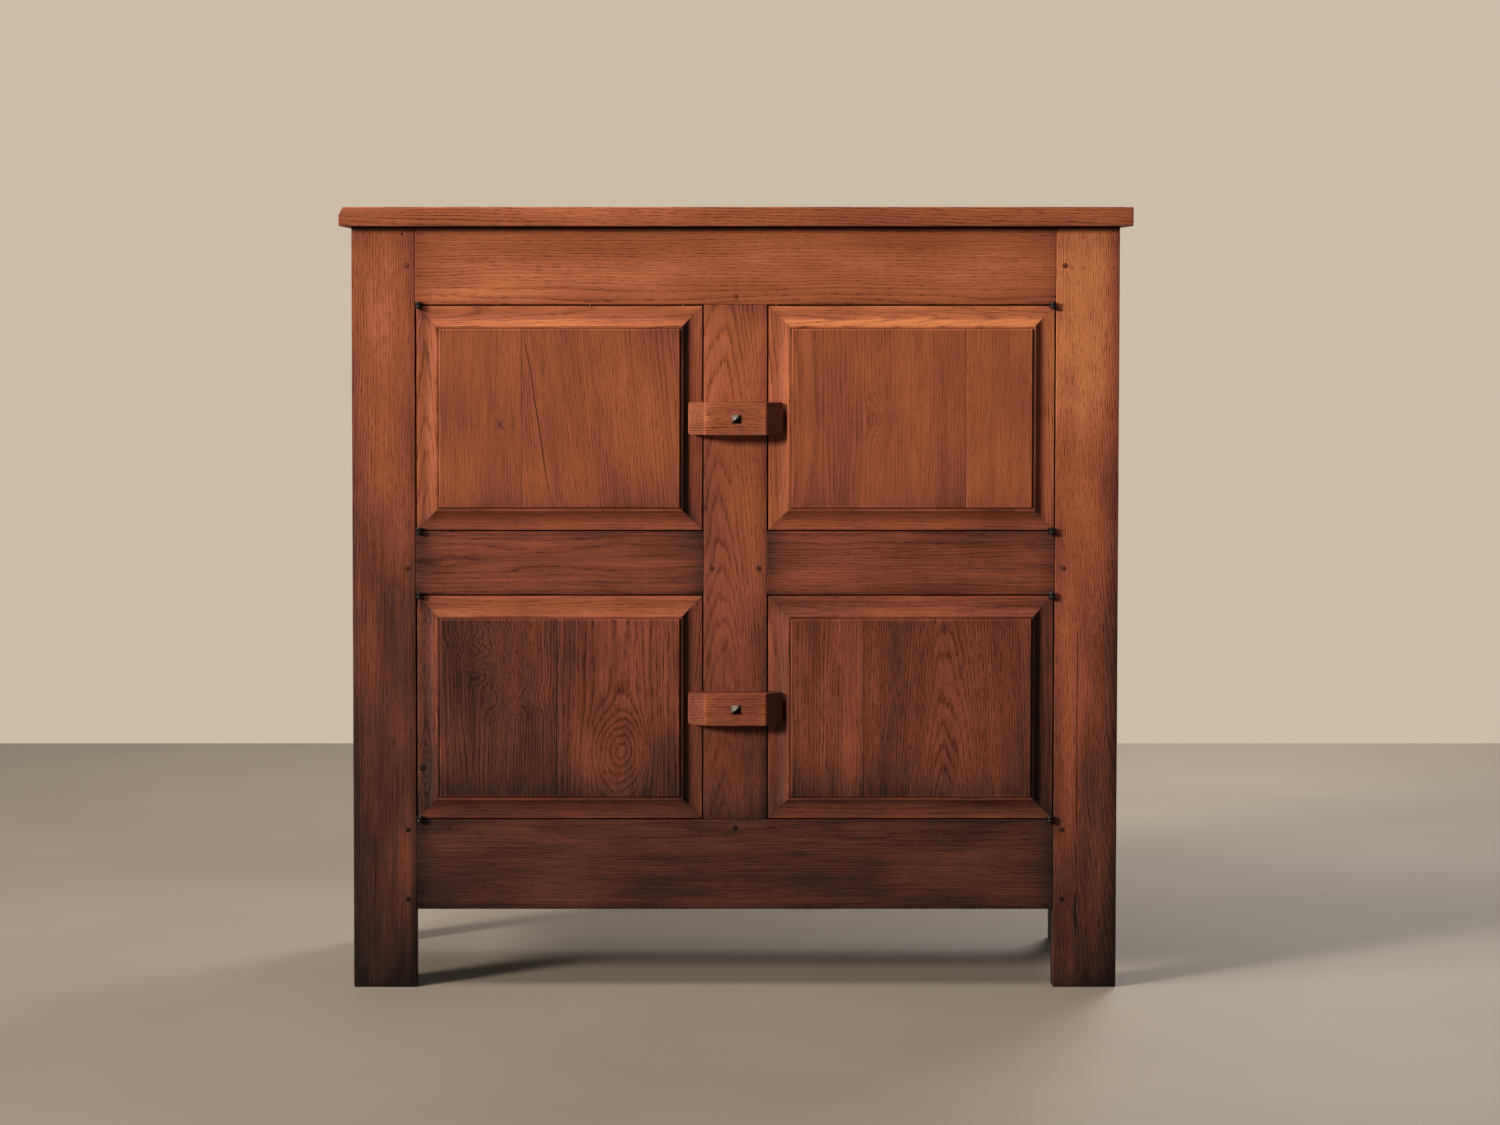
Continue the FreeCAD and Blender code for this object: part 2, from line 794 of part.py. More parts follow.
def top_fixing_blocks():
    """Blocks in the corner between the top and the front and back rails."""
    half = size.fixing_block_length / 2
    up = (carcass_top - size.fixing_block_size, carcass_top)
    front = (size.frame_thickness, size.frame_thickness + size.fixing_block_size)
    rows = {"front": front, "rear": (back_rail_face - size.fixing_block_size, back_rail_face)}
    solids = []
    for row, along in rows.items():
        for side in SIDES:
            middle = side * size.fixing_block_spacing
            name = f"fixing_block_{row}_{SIDES[side]}"
            solids.append(box(name, (middle - half, middle + half), along, up))
    group("top_fixing_blocks", solids)


# Top


def top_planks():
    """Three planks; the outer arrises are eased, and the left end is bevelled along its upper edge."""
    high = carcass_top + size.top_thickness
    front = -size.top_front_overhang
    first_joint = front + size.front_plank_width
    second_joint = first_joint + size.middle_plank_width
    back = size.body_depth
    ease = size.plank_easing
    end = half_body + size.top_side_overhang
    front_profile = [
        (front + ease, carcass_top),
        (first_joint, carcass_top),
        (first_joint, high),
        (front + ease, high),
        (front, high - ease),
        (front, carcass_top + ease),
    ]
    rear_profile = [
        (second_joint, carcass_top),
        (back - ease, carcass_top),
        (back, carcass_top + ease),
        (back, high - ease),
        (back - ease, high),
        (second_joint, high),
    ]
    profiles = {
        "front": front_profile,
        "middle": rectangle((first_joint, second_joint), (carcass_top, high)),
        "rear": rear_profile,
    }
    bevel = [(-end, high), (-end, high - size.end_bevel_height), (size.end_bevel_width - end, high)]
    for place_name, profile in profiles.items():
        body = new_body(f"top_{place_name}_plank")
        pad(body, "YZ", (-end, end), [profile])
        pocket(body, "XZ", (front, back), [bevel])
        keep(body)


# Pegs


def frame_pegs():
    in_frame = [STILE_TOP_PEG, STILE_BOTTOM_PEG] + [stile_peg(side) for side in SIDES]
    in_posts = [peg for side in SIDES for pegs in post_pegs(side).values() for peg in pegs]
    pegs = []
    for points, length in ((in_frame, size.frame_thickness), (in_posts, size.peg_length)):
        for x, z in points:
            name = f"frame_peg_{len(pegs) + 1}"
            pegs.append(cylinder(name, size.peg_diameter, length, (x, 0, z), "y"))
    group("frame_pegs", pegs)


def side_frame_pegs():
    pegs = []
    for side in SIDES:
        start = span(side, half_body - size.peg_length, half_body)[0]
        for rail in SIDE_RAILS:
            for index, (y, z) in enumerate(side_pegs(rail), start=1):
                name = f"{SIDES[side]}_side_{rail}_peg_{index}"
                pegs.append(cylinder(name, size.peg_diameter, size.peg_length, (start, y, z), "x"))
    group("side_frame_pegs", pegs)


def back_frame_pegs():
    pegs = []
    for side in SIDES:
        for rail in BACK_RAILS:
            x, z = back_peg(side, rail)
            start = (x, back_rail_face, z)
            name = f"back_{rail}_{SIDES[side]}_peg"
            pegs.append(cylinder(name, size.peg_diameter, size.back_rail_thickness, start, "y"))
    group("back_frame_pegs", pegs)


# Doors


def draw_door_section(sketch):
    """Section of a door frame member in its y and z: margin, cove, ridge, lip, panel groove and back."""
    ridge = size.door_margin + size.cove_width
    groove = size.door_frame_width - size.door_groove_depth
    groove_back = size.lip_thickness + size.door_groove_width
    corners = [
        (size.door_thickness, 0),
        (0, 0),
        (0, -size.door_margin),
        (-size.ridge_height, -ridge),
        (-size.ridge_height, -ridge - size.ridge_width),
        (0, -size.door_frame_width),
        (size.lip_thickness, -size.door_frame_width),
        (size.lip_thickness, -groove),
        (groove_back, -groove),
        (groove_back, -size.door_frame_width),
        (size.door_thickness, -size.door_frame_width),
    ]
    cove = 2
    count = len(corners)
    ends = {}
    for index in range(count):
        start, end = vector(corners[index]), vector(corners[(index + 1) % count])
        if index == cove:
            rise, run = start.x - end.x, start.y - end.y
            radius = (rise * rise + run * run) / (2 * rise)
            centre = FreeCAD.Vector(start.x - radius, start.y, 0)
            circle = Part.Circle(centre, FreeCAD.Vector(0, 0, 1), radius)
            arc = Part.ArcOfCircle(circle, circle.parameter(end), circle.parameter(start))
            ends[index] = (sketch.addGeometry(arc), 2, 1)
        else:
            ends[index] = (sketch.addGeometry(Part.LineSegment(start, end)), 1, 2)
    for index in range(count):
        side, begins, finishes = ends[index]
        following = ends[(index + 1) % count]
        sketch.addConstraint(Sketcher.Constraint("Coincident", side, finishes, following[0], following[1]))
        hold_point(sketch, (side, begins), corners[index])
    # The cove leaves the flat margin without a corner, so its centre stands level with its start
    hold(sketch, "DistanceY", (ends[cove][0], 3), corners[cove][1])


def door_member(label, length):
    """One mitred frame member along x: outer edge at z = 0, panel side below, face at y = 0."""
    body = new_body(label)
    half = length / 2
    sketch = new_sketch(body, "YZ", -half)
    draw_door_section(sketch)
    bar = body.newObject("PartDesign::Pad", f"{label}_pad")
    bar.Profile = sketch
    bind(bar, "Length", length)
    inner = -size.door_frame_width - CUT_MARGIN
    mitres = []
    for end in SIDES:
        tip = end * (half + CUT_MARGIN)
        root = end * (half - size.door_frame_width - CUT_MARGIN)
        mitres.append([(tip, as_term(CUT_MARGIN)), (tip, inner), (root, inner)])
    pocket(body, "XZ", (-size.ridge_height, size.door_thickness), mitres)
    return body


def corner_tenon(clearance):
    """Across and up ranges of the tenon in the corner square, measured from the door's outer edges."""
    across = (size.door_tenon_end - clearance, size.door_frame_width)
    up = (size.door_tenon_inset - clearance, size.door_tenon_inset + size.door_tenon_width + clearance)
    return across, up


def door_rail(label, length, hinge_end):
    body = door_member(label, length)
    half = length / 2
    across, up = corner_tenon(0)
    tenons = []
    for end in SIDES:
        tenons.append(rectangle((end * (half - across[0]), end * (half - across[1])), (-up[0], -up[1])))
    tenon_end = size.door_tenon_setback + size.door_tenon_thickness
    pad(body, "XZ", (size.door_tenon_setback, tenon_end), tenons)
    recess = leaf_plan(hinge_end * (half - size.pin_inset), -hinge_end, size.leaf_clearance, -CUT_MARGIN)
    pocket(body, "XY", (-size.leaf_thickness, 0), [recess])
    return body


def door_stile(label, length):
    body = door_member(label, length)
    half = length / 2
    clearance = size.joint_clearance
    across, up = corner_tenon(clearance)
    mortises = []
    for end in SIDES:
        reach = (-across[0], -across[1] - CUT_MARGIN)
        mortises.append(rectangle((end * (half - up[0]), end * (half - up[1])), reach))
    tenon_end = size.door_tenon_setback + size.door_tenon_thickness
    pocket(body, "XZ", (size.door_tenon_setback - clearance, tenon_end + clearance), mortises)
    return body


def door_panel(label, width, height):
    """Floating panel about its own middle: a tongue all round and a field raised towards the front."""
    body = new_body(label)
    tongue = size.door_frame_width - size.door_groove_depth + size.panel_play
    half_width, half_height = width / 2 - tongue, height / 2 - tongue
    front = size.lip_thickness + size.panel_clearance
    back = size.lip_thickness + size.door_groove_width - size.panel_clearance
    pad(body, "XZ", (front, back), [rectangle((-half_width, half_width), (-half_height, half_height))])
    field = size.door_frame_width + size.panel_quirk
    half_width, half_height = width / 2 - field, height / 2 - field
    field_face = front - size.panel_raise
    pad(body, "XZ", (field_face, front), [rectangle((-half_width, half_width), (-half_height, half_height))])
    return body


def set_in_door(body, x, z, turn):
    body.Placement.Rotation = FreeCAD.Rotation(FreeCAD.Vector(0, 1, 0), turn)
    place(body, x, face, z)
    subparts.append(body)


def hinge_leaf(name, side, leaf_up, knuckle_up):
    """One leaf: plate and neck from the edge, knuckle in front of the face, bored for the pin."""
    pin = side * pin_x
    near, far = size.leaf_start, size.leaf_start + size.leaf_length
    plate_across = (pin + near, pin + far) if side < 0 else (pin - far, pin - near)
    radius = size.knuckle_diameter / 2
    neck_across = (pin + near, pin + radius) if side < 0 else (pin - radius, pin - near)
    step = size.leaf_setback
    plate = box(f"{name}_plate", plate_across, (step, step + size.leaf_width), leaf_up)
    neck = box(f"{name}_neck", neck_across, (-size.pin_forward, step + size.leaf_width), leaf_up)
    start = (pin, -size.pin_forward, knuckle_up[0])
    tall = knuckle_up[1] - knuckle_up[0]
    knuckle = cylinder(f"{name}_knuckle", size.knuckle_diameter, tall, start, "z")
    bore = cylinder(f"{name}_bore", size.pin_diameter + 2 * size.pin_clearance, tall, start, "z")
    return cut(name, fuse(f"{name}_forging", [plate, neck, knuckle]), bore)


def hinge_heights(edge, into_frame):
    """Height ranges at one edge of an opening: frame leaf, frame knuckle, door leaf, door knuckle and pin."""
    middle = edge - into_frame * (size.door_gap / 2)
    door_edge = edge - into_frame * size.door_gap
    half_gap = size.knuckle_gap / 2
    frame_leaf = (edge, edge + into_frame * size.leaf_thickness)
    door_leaf = (door_edge - into_frame * size.leaf_thickness, door_edge)
    frame_near = middle + into_frame * half_gap
    door_near = middle - into_frame * half_gap
    frame_knuckle = (frame_near, frame_near + into_frame * size.knuckle_height)
    door_knuckle = (door_near - into_frame * size.knuckle_height, door_near)
    pin = (door_knuckle[0], frame_knuckle[1])
    ranges = (frame_leaf, frame_knuckle, door_leaf, door_knuckle, pin)
    return [reach if into_frame > 0 else reach[::-1] for reach in ranges]


frame_leaves = []
pins = []


def door(level, side):
    name = f"{level}_{SIDES[side]}_door"
    low, high = OPENINGS[level]
    height = high - low - 2 * size.door_gap
    middle_x = side * (stile_x + opening_x) / 2
    middle_z = (low + high) / 2
    half_width, half_height = door_width / 2, height / 2
    hinge_stile = door_stile(f"{name}_hinge_stile", height)
    set_in_door(hinge_stile, middle_x + side * half_width, middle_z, 90 * side)
    latch_stile = door_stile(f"{name}_latch_stile", height)
    set_in_door(latch_stile, middle_x - side * half_width, middle_z, -90 * side)
    top_rail = door_rail(f"{name}_top_rail", door_width, side)
    set_in_door(top_rail, middle_x, middle_z + half_height, 0)
    bottom_rail = door_rail(f"{name}_bottom_rail", door_width, -side)
    set_in_door(bottom_rail, middle_x, middle_z - half_height, 180)
    panel = door_panel(f"{name}_panel", door_width, height)
    set_in_door(panel, middle_x, middle_z, 0)
    door_leaves = []
    for end, edge, into_frame in (("top", high, 1), ("bottom", low, -1)):
        frame_leaf, frame_knuckle, door_leaf, door_knuckle, pin = hinge_heights(edge, into_frame)
        frame_name = f"{name}_{end}_frame_leaf"
        frame_leaves.append(hinge_leaf(frame_name, side, frame_leaf, frame_knuckle))
        door_leaves.append(hinge_leaf(f"{name}_{end}_leaf", side, door_leaf, door_knuckle))
        start = (side * pin_x, -size.pin_forward, pin[0])
        pins.append(cylinder(f"{name}_{end}_pin", size.pin_diameter, pin[1] - pin[0], start, "z"))
    group(f"{name}_hinge_leaves", door_leaves)


# Latches


def turn_latch(level, height):
    """Wooden bar with bevelled ends; the back is relieved outwards, so it turns clear of the door coves."""
    body = new_body(f"{level}_turn_latch")
    near = -size.latch_gap
    far = near - size.latch_thickness
    tip = size.latch_length / 2
    tip_back = -size.latch_tip_relief
    tip_front = tip_back - size.latch_tip_thickness
    half_back = size.latch_back_length / 2
    half_face = size.latch_face_length / 2
    plan = [
        (-half_back, near),
        (half_back, near),
        (tip, tip_back),
        (tip, tip_front),
        (half_face, far),
        (-half_face, far),
        (-tip, tip_front),
        (-tip, tip_back),
    ]
    half_height = size.latch_height / 2
    pad(body, "XY", (-half_height, half_height), [plan])
    bore = size.screw_diameter + 2 * size.screw_clearance
    bored = pocket(body, "XZ", (far, near), circles=[((0, 0), bore)])
    doc.recompute()
    reach = tip.number - CUT_MARGIN
    ends = []
    for index, edge in enumerate(bored.Shape.Edges, start=1):
        points = [vertex.Point for vertex in edge.Vertexes]
        along_y = len(points) == 2 and abs(points[0].z - points[1].z) + abs(points[0].x - points[1].x) < 1e-6
        if along_y and abs(points[0].x) > reach:
            ends.append(f"Edge{index}")
    rounding = body.newObject("PartDesign::Fillet", f"{level}_tip_rounding")
    rounding.Base = (bored, ends)
    bind(rounding, "Radius", size.latch_tip_radius)
    place(body, 0, face, height)
    subparts.append(body)


def latch_screw(level, height):
    """Round shank with a square, pyramid-shaped forged head."""
    under_head = -2 * size.latch_gap - size.latch_thickness
    rim = under_head - size.screw_head_rim
    half = size.screw_head_width / 2
    name = f"{level}_latch_screw"
    length = size.screw_depth - under_head
    shank = cylinder(f"{name}_shank", size.screw_diameter, length, (0, under_head, height), "y")
    base = box(f"{name}_rim", (-half, half), (rim, under_head), (height - half, height + half))
    pyramid = doc.addObject("Part::Wedge", f"{name}_pyramid")
    half_tip = size.screw_tip_width / 2
    faces = {"": half_tip, "2": half}
    for suffix, reach in faces.items():
        for axis in "XZ":
            bind(pyramid, f"{axis}{suffix}min", -reach)
            bind(pyramid, f"{axis}{suffix}max", reach)
    bind(pyramid, "Ymin", under_head - size.screw_head_height)
    bind(pyramid, "Ymax", rim)
    place(pyramid, 0, face, height)
    return fuse(name, [shank, base, pyramid])


# The cabinet

top_planks()
for side in SIDES:
    front_post(side)
    back_post(side)
front_top_rail()
front_bottom_rail()
centre_stile()
for side in SIDES:
    middle_rail(side)
    side_panel(side)
    for rail in SIDE_RAILS:
        side_rail(side, rail)
for rail in BACK_RAILS:
    back_rail(rail)
back_boards()
for name, top in BOARD_TOPS.items():
    lying_boards(f"{name}_boards", top)
    bearers(f"{name}_bearers", top)
door_stop_strip()
top_fixing_blocks()
frame_pegs()
side_frame_pegs()
back_frame_pegs()
for level in OPENINGS:
    for side in SIDES:
        door(level, side)
group("frame_hinge_leaves", frame_leaves)
group("hinge_pins", pins)
for level, height in latch_heights().items():
    turn_latch(level, height)
group("latch_screws", [latch_screw(level, height) for level, height in latch_heights().items()])

doc.recompute()

# Every object is sound and every pocket takes something away before anything is written
for item in doc.Objects:
    if "Invalid" in item.State or "Error" in item.State:
        raise RuntimeError(f"{item.Name} failed: {item.State}")
    if item.TypeId == "PartDesign::Pocket" and item.Shape.Volume > item.BaseFeature.Shape.Volume - 1e-3:
        raise RuntimeError(f"{item.Name} cuts nothing")
for part in subparts:
    if part.Shape.isNull() or not part.Shape.isValid():
        raise RuntimeError(f"{part.Label} has no valid shape")

os.makedirs("parts", exist_ok=True)
for part in subparts:
    part.Shape.exportStep(f"parts/{part.Label}.step")
print(f"{len(subparts)} sub-parts written")
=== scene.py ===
"""Looks of a four-door buffet cabinet, laid out as an add-on and run as a script around the CAD frame.

Lengths are metres in the cabinet's own frame: x along its width, y from its face to its back, z up.
"""

import math
from collections import namedtuple

import bpy
import numpy as np
from bpy.props import FloatProperty, FloatVectorProperty, PointerProperty
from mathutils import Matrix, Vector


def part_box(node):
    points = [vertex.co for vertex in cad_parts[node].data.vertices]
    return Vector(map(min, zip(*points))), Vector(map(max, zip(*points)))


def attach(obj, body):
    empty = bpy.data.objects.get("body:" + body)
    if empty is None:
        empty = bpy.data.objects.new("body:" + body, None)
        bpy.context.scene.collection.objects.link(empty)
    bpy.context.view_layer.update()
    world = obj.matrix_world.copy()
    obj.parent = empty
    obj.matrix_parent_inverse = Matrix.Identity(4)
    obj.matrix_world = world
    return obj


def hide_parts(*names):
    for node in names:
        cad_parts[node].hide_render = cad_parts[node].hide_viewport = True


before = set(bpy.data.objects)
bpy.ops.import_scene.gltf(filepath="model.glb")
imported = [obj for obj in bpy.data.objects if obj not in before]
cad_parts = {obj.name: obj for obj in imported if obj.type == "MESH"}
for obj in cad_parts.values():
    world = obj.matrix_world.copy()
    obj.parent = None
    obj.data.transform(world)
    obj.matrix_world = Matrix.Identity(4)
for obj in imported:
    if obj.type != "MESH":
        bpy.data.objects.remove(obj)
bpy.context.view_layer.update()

bl_info = {
    "name": "Buffet cabinet",
    "version": (1, 0, 0),
    "blender": (4, 5, 0),
    "location": "View3D > Sidebar > Cabinet",
    "description": "Worn boards, coved doors, turn latches and forged hinges of a buffet cabinet",
    "category": "Object",
}

MM = 0.001
MM_IN_METRE = 1000
SIDES = {"left": -1, "right": 1}
LEVELS = ("upper", "lower")
DOORS = [(level, side, way) for level in LEVELS for side, way in SIDES.items()]
X, Y, Z = np.eye(3)
# Every board draws its own grain, numbered by the order of the CAD nodes' names
SEEDS = {name: 10 * index for index, name in enumerate(sorted(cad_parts))}


def box(node):
    """Lowest and highest corner of a CAD node."""
    low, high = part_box(node)
    return np.array(low), np.array(high)


# Lines of the frame that several pieces share
FACE = box("front_left_post")[0][1]
OPENING = box("front_right_post")[0][0]
HALF_BODY, POST_BACK = box("front_right_post")[1][:2]
BACK_POST_INNER, BACK_POST_FACE = box("back_right_post")[0][:2]
BACK = box("back_right_post")[1][1]
STILE = box("centre_stile")[1][0]
RAIL_NODES = {"bottom": "front_bottom_rail", "middle": "left_middle_rail", "top": "front_top_rail"}
RAILS = {rail: (box(node)[0][2], box(node)[1][2]) for rail, node in RAIL_NODES.items()}
CARCASS_TOP = RAILS["top"][1]
OPENINGS = {
    "lower": (RAILS["bottom"][1], RAILS["middle"][0]),
    "upper": (RAILS["middle"][1], RAILS["top"][0]),
}


def linear(code):
    """An sRGB hex colour as linear red, green and blue."""
    values = np.array([int(code[i : i + 2], 16) for i in (1, 3, 5)]) / 255
    return tuple(np.where(values <= 0.04045, values / 12.92, ((values + 0.055) / 1.055) ** 2.4).tolist())


def length(name, description, millimetres):
    """A length that the sidebar can show."""
    default = millimetres * MM
    return FloatProperty(name=name, description=description, default=default, precision=5, unit="LENGTH")


def colour(name, description, code):
    """A colour that the sidebar can show, from its sRGB hex code."""
    default = linear(code)
    return FloatVectorProperty(name=name, description=description, default=default, size=3, subtype="COLOR")


class CabinetSizes(bpy.types.PropertyGroup):
    """Sizes of wear, and of mouldings, pegs, hinges and latches that the CAD frame's boxes don't tell."""

    arris: length("Arris", "Radius that use has worn on the edges of the boards", 1.0)
    plane_marks: length("Plane marks", "Depth of the hollows that a hand plane leaves", 0.25)
    joint_play: length("Joint play", "How far a board stays short of its joint", 0.2)
    seam: length("Panel seam", "Depth of the fine groove where two boards of a panel are glued", 0.12)
    field_arris: length("Field arris", "Rounding of the edge of a panel's field", 1.6)
    end_bevel_width: length("End bevel width", "Bevel on the left end of the top, along its length", 7)
    end_bevel_height: length("End bevel height", "Bevel on the left end of the top, down its edge", 14)
    door_frame: length("Door frame width", "Width of a door's frame members", 35)
    door_margin: length("Door margin", "Flat margin outside the cove", 11)
    cove: length("Cove width", "Width of the cove", 19)
    ridge: length("Ridge height", "Height of the ridge over the margin", 9)
    door_thickness: length("Door thickness", "Thickness of the door frame", 27)
    lip: length("Lip", "Wood in front of the panel groove", 2)
    groove: length("Panel groove", "Depth and width of the panel groove", 8)
    field_inset: length("Field inset", "Field edge of a door panel from the edge of its tongue", 7.15)
    peg: length("Peg diameter", "Diameter of the wooden pegs", 8)
    peg_stand: length("Peg stand", "How far a peg stands out of its post", 0.5)
    peg_setback: length("Peg setback", "Distance of a peg from the joint", 13)
    peg_inset: length("Peg inset", "Distance of a peg from the edge of its rail", 16)
    middle_peg_drop: length("Middle peg drop", "Middle rail pegs below the middle of the rail", 8)
    side_shoulder: length("Side shoulder", "Shoulder of the side rails' tenons", 15)
    pin_forward: length("Pin forward", "Hinge pin in front of the face", 5.8)
    pin: length("Pin diameter", "Diameter of the hinge pins", 4.5)
    knuckle: length("Knuckle diameter", "Diameter of the hinge knuckles", 10.5)
    knuckle_height: length("Knuckle height", "Height of one knuckle", 5)
    door_gap: length("Door gap", "Gap between door and frame", 2)
    leaf: length("Leaf thickness", "Thickness of a hinge leaf", 2.5)
    leaf_width: length("Leaf width", "Width of a hinge leaf", 16)
    leaf_length: length("Leaf length", "Length of a hinge leaf", 55)
    latch_face: length("Latch face", "Length of a latch's front face", 92)
    latch_back: length("Latch back", "Length of a latch's flat back", 114)
    latch_relief: length("Latch relief", "Tip of the latch in front of the frame, at its back", 8)
    latch_tip: length("Latch tip", "Thickness of the latch at its tip", 5)
    latch_tip_radius: length("Latch tip radius", "Rounding of the tip seen from the front", 4)
    screw_head: length("Screw head", "Width of the square screw head", 13.5)


class CabinetColours(bpy.types.PropertyGroup):
    """Colours of the finishes, from the barest to the darkest; the pale end also paints the highlight on
    coves that face up, the dark end painted shade.
    """

    rubbed: colour("Rubbed wood", "Stain rubbed thin on arrises and pale boards", "#C87A4D")
    pale: colour("Pale stain", "Pale boards", "#AA5F3E")
    middle: colour("Stain", "Most of the boards", "#904E33")
    deep: colour("Deep stain", "Dark boards", "#683828")
    # Dark stain and soot also paint shade: the shaded coves, the lower parts and the strip under the top
    dark: colour("Dark stain", "Stain gathered in corners and on the feet", "#3C211A")
    soot: colour("Soot", "Dirt in joints", "#180D0A")
    bare: colour("Bare wood", "Unstained wood inside and at the back", "#A37C58")
    bare_dark: colour("Aged bare wood", "Unstained wood darkened by age", "#6E4C30")
    iron: colour("Forged iron", "Bright parts of the forged iron", "#8A837A")
    scale: colour("Forge scale", "Black scale on the iron", "#151312")
    floor: colour("Floor", "Pale floor", "#948778")
    floor_bounce: colour("Floor bounce", "Floor as the light that bounces off it finds it", "#343434")
    wall: colour("Backdrop", "Pale background behind the cabinet", "#CDBDA7")


# Materials

# Length and width of one feature of each pattern in the wood, in millimetres, and its detail; the pores are
# coarser than life, 1.6 mm wide instead of half a millimetre, so that they show at the camera's distance
PATTERNS = {
    "sway": (300, 50, 2.0),
    "jitter": (24, 5, 2.0),
    "pores": (16, 1.6, 1.0),
    "fibres": (75, 1.9, 2.0),
    "bands": (420, 14, 2.0),
    "clouds": (200, 65, 3.0),
}
# A ring's width, and how far apart wide and narrow years lie, in millimetres
RING_WIDTH = 3
YEARS_APART = 16
# Place in a ring and darkness there: black at its porous start, palest late, black again at the next ring
RING_STEPS = ((0.1, 0.8), (0.22, 0.36), (0.5, 0.1), (0.8, 0.0))
# What rings and pores leave of the wood's red, green and blue
RING_STAIN = (0.3, 0.23, 0.21, 1)


def add_node(tree, kind, inputs=None, **settings):
    """Adds a shader node, sets its properties, and fills its inputs or links them.

    An input takes a value, another node's socket, or another node, which stands for its first output.
    """
    node = tree.nodes.new("ShaderNode" + kind)
    for name, value in settings.items():
        setattr(node, name, value)
    for key, value in (inputs or {}).items():
        if isinstance(value, bpy.types.Node):
            value = value.outputs[0]
        if isinstance(value, bpy.types.NodeSocket):
            tree.links.new(value, node.inputs[key])
        else:
            node.inputs[key].default_value = value
    return node


def empty_material(name):
    """A new material and its emptied node tree."""
    material = bpy.data.materials.new(name)
    material.use_nodes = True
    material.node_tree.nodes.clear()
    return material, material.node_tree


def surface(tree, **inputs):
    """Ends a material's tree; the inputs' names are the surface's own, with underscores for spaces."""
    inputs = {name.replace("_", " "): value for name, value in inputs.items()}
    add_node(tree, "OutputMaterial", {"Surface": add_node(tree, "BsdfPrincipled", inputs)})


def seen_directly(tree):
    """One for the camera, reflections and clear things, nothing for light that bounces."""
    light = add_node(tree, "LightPath")
    seen = light.outputs["Is Camera Ray"]
    for ray in ("Is Glossy Ray", "Is Transmission Ray"):
        seen = add_node(tree, "Math", {0: seen, 1: light.outputs[ray]}, operation="MAXIMUM").outputs[0]
    return seen


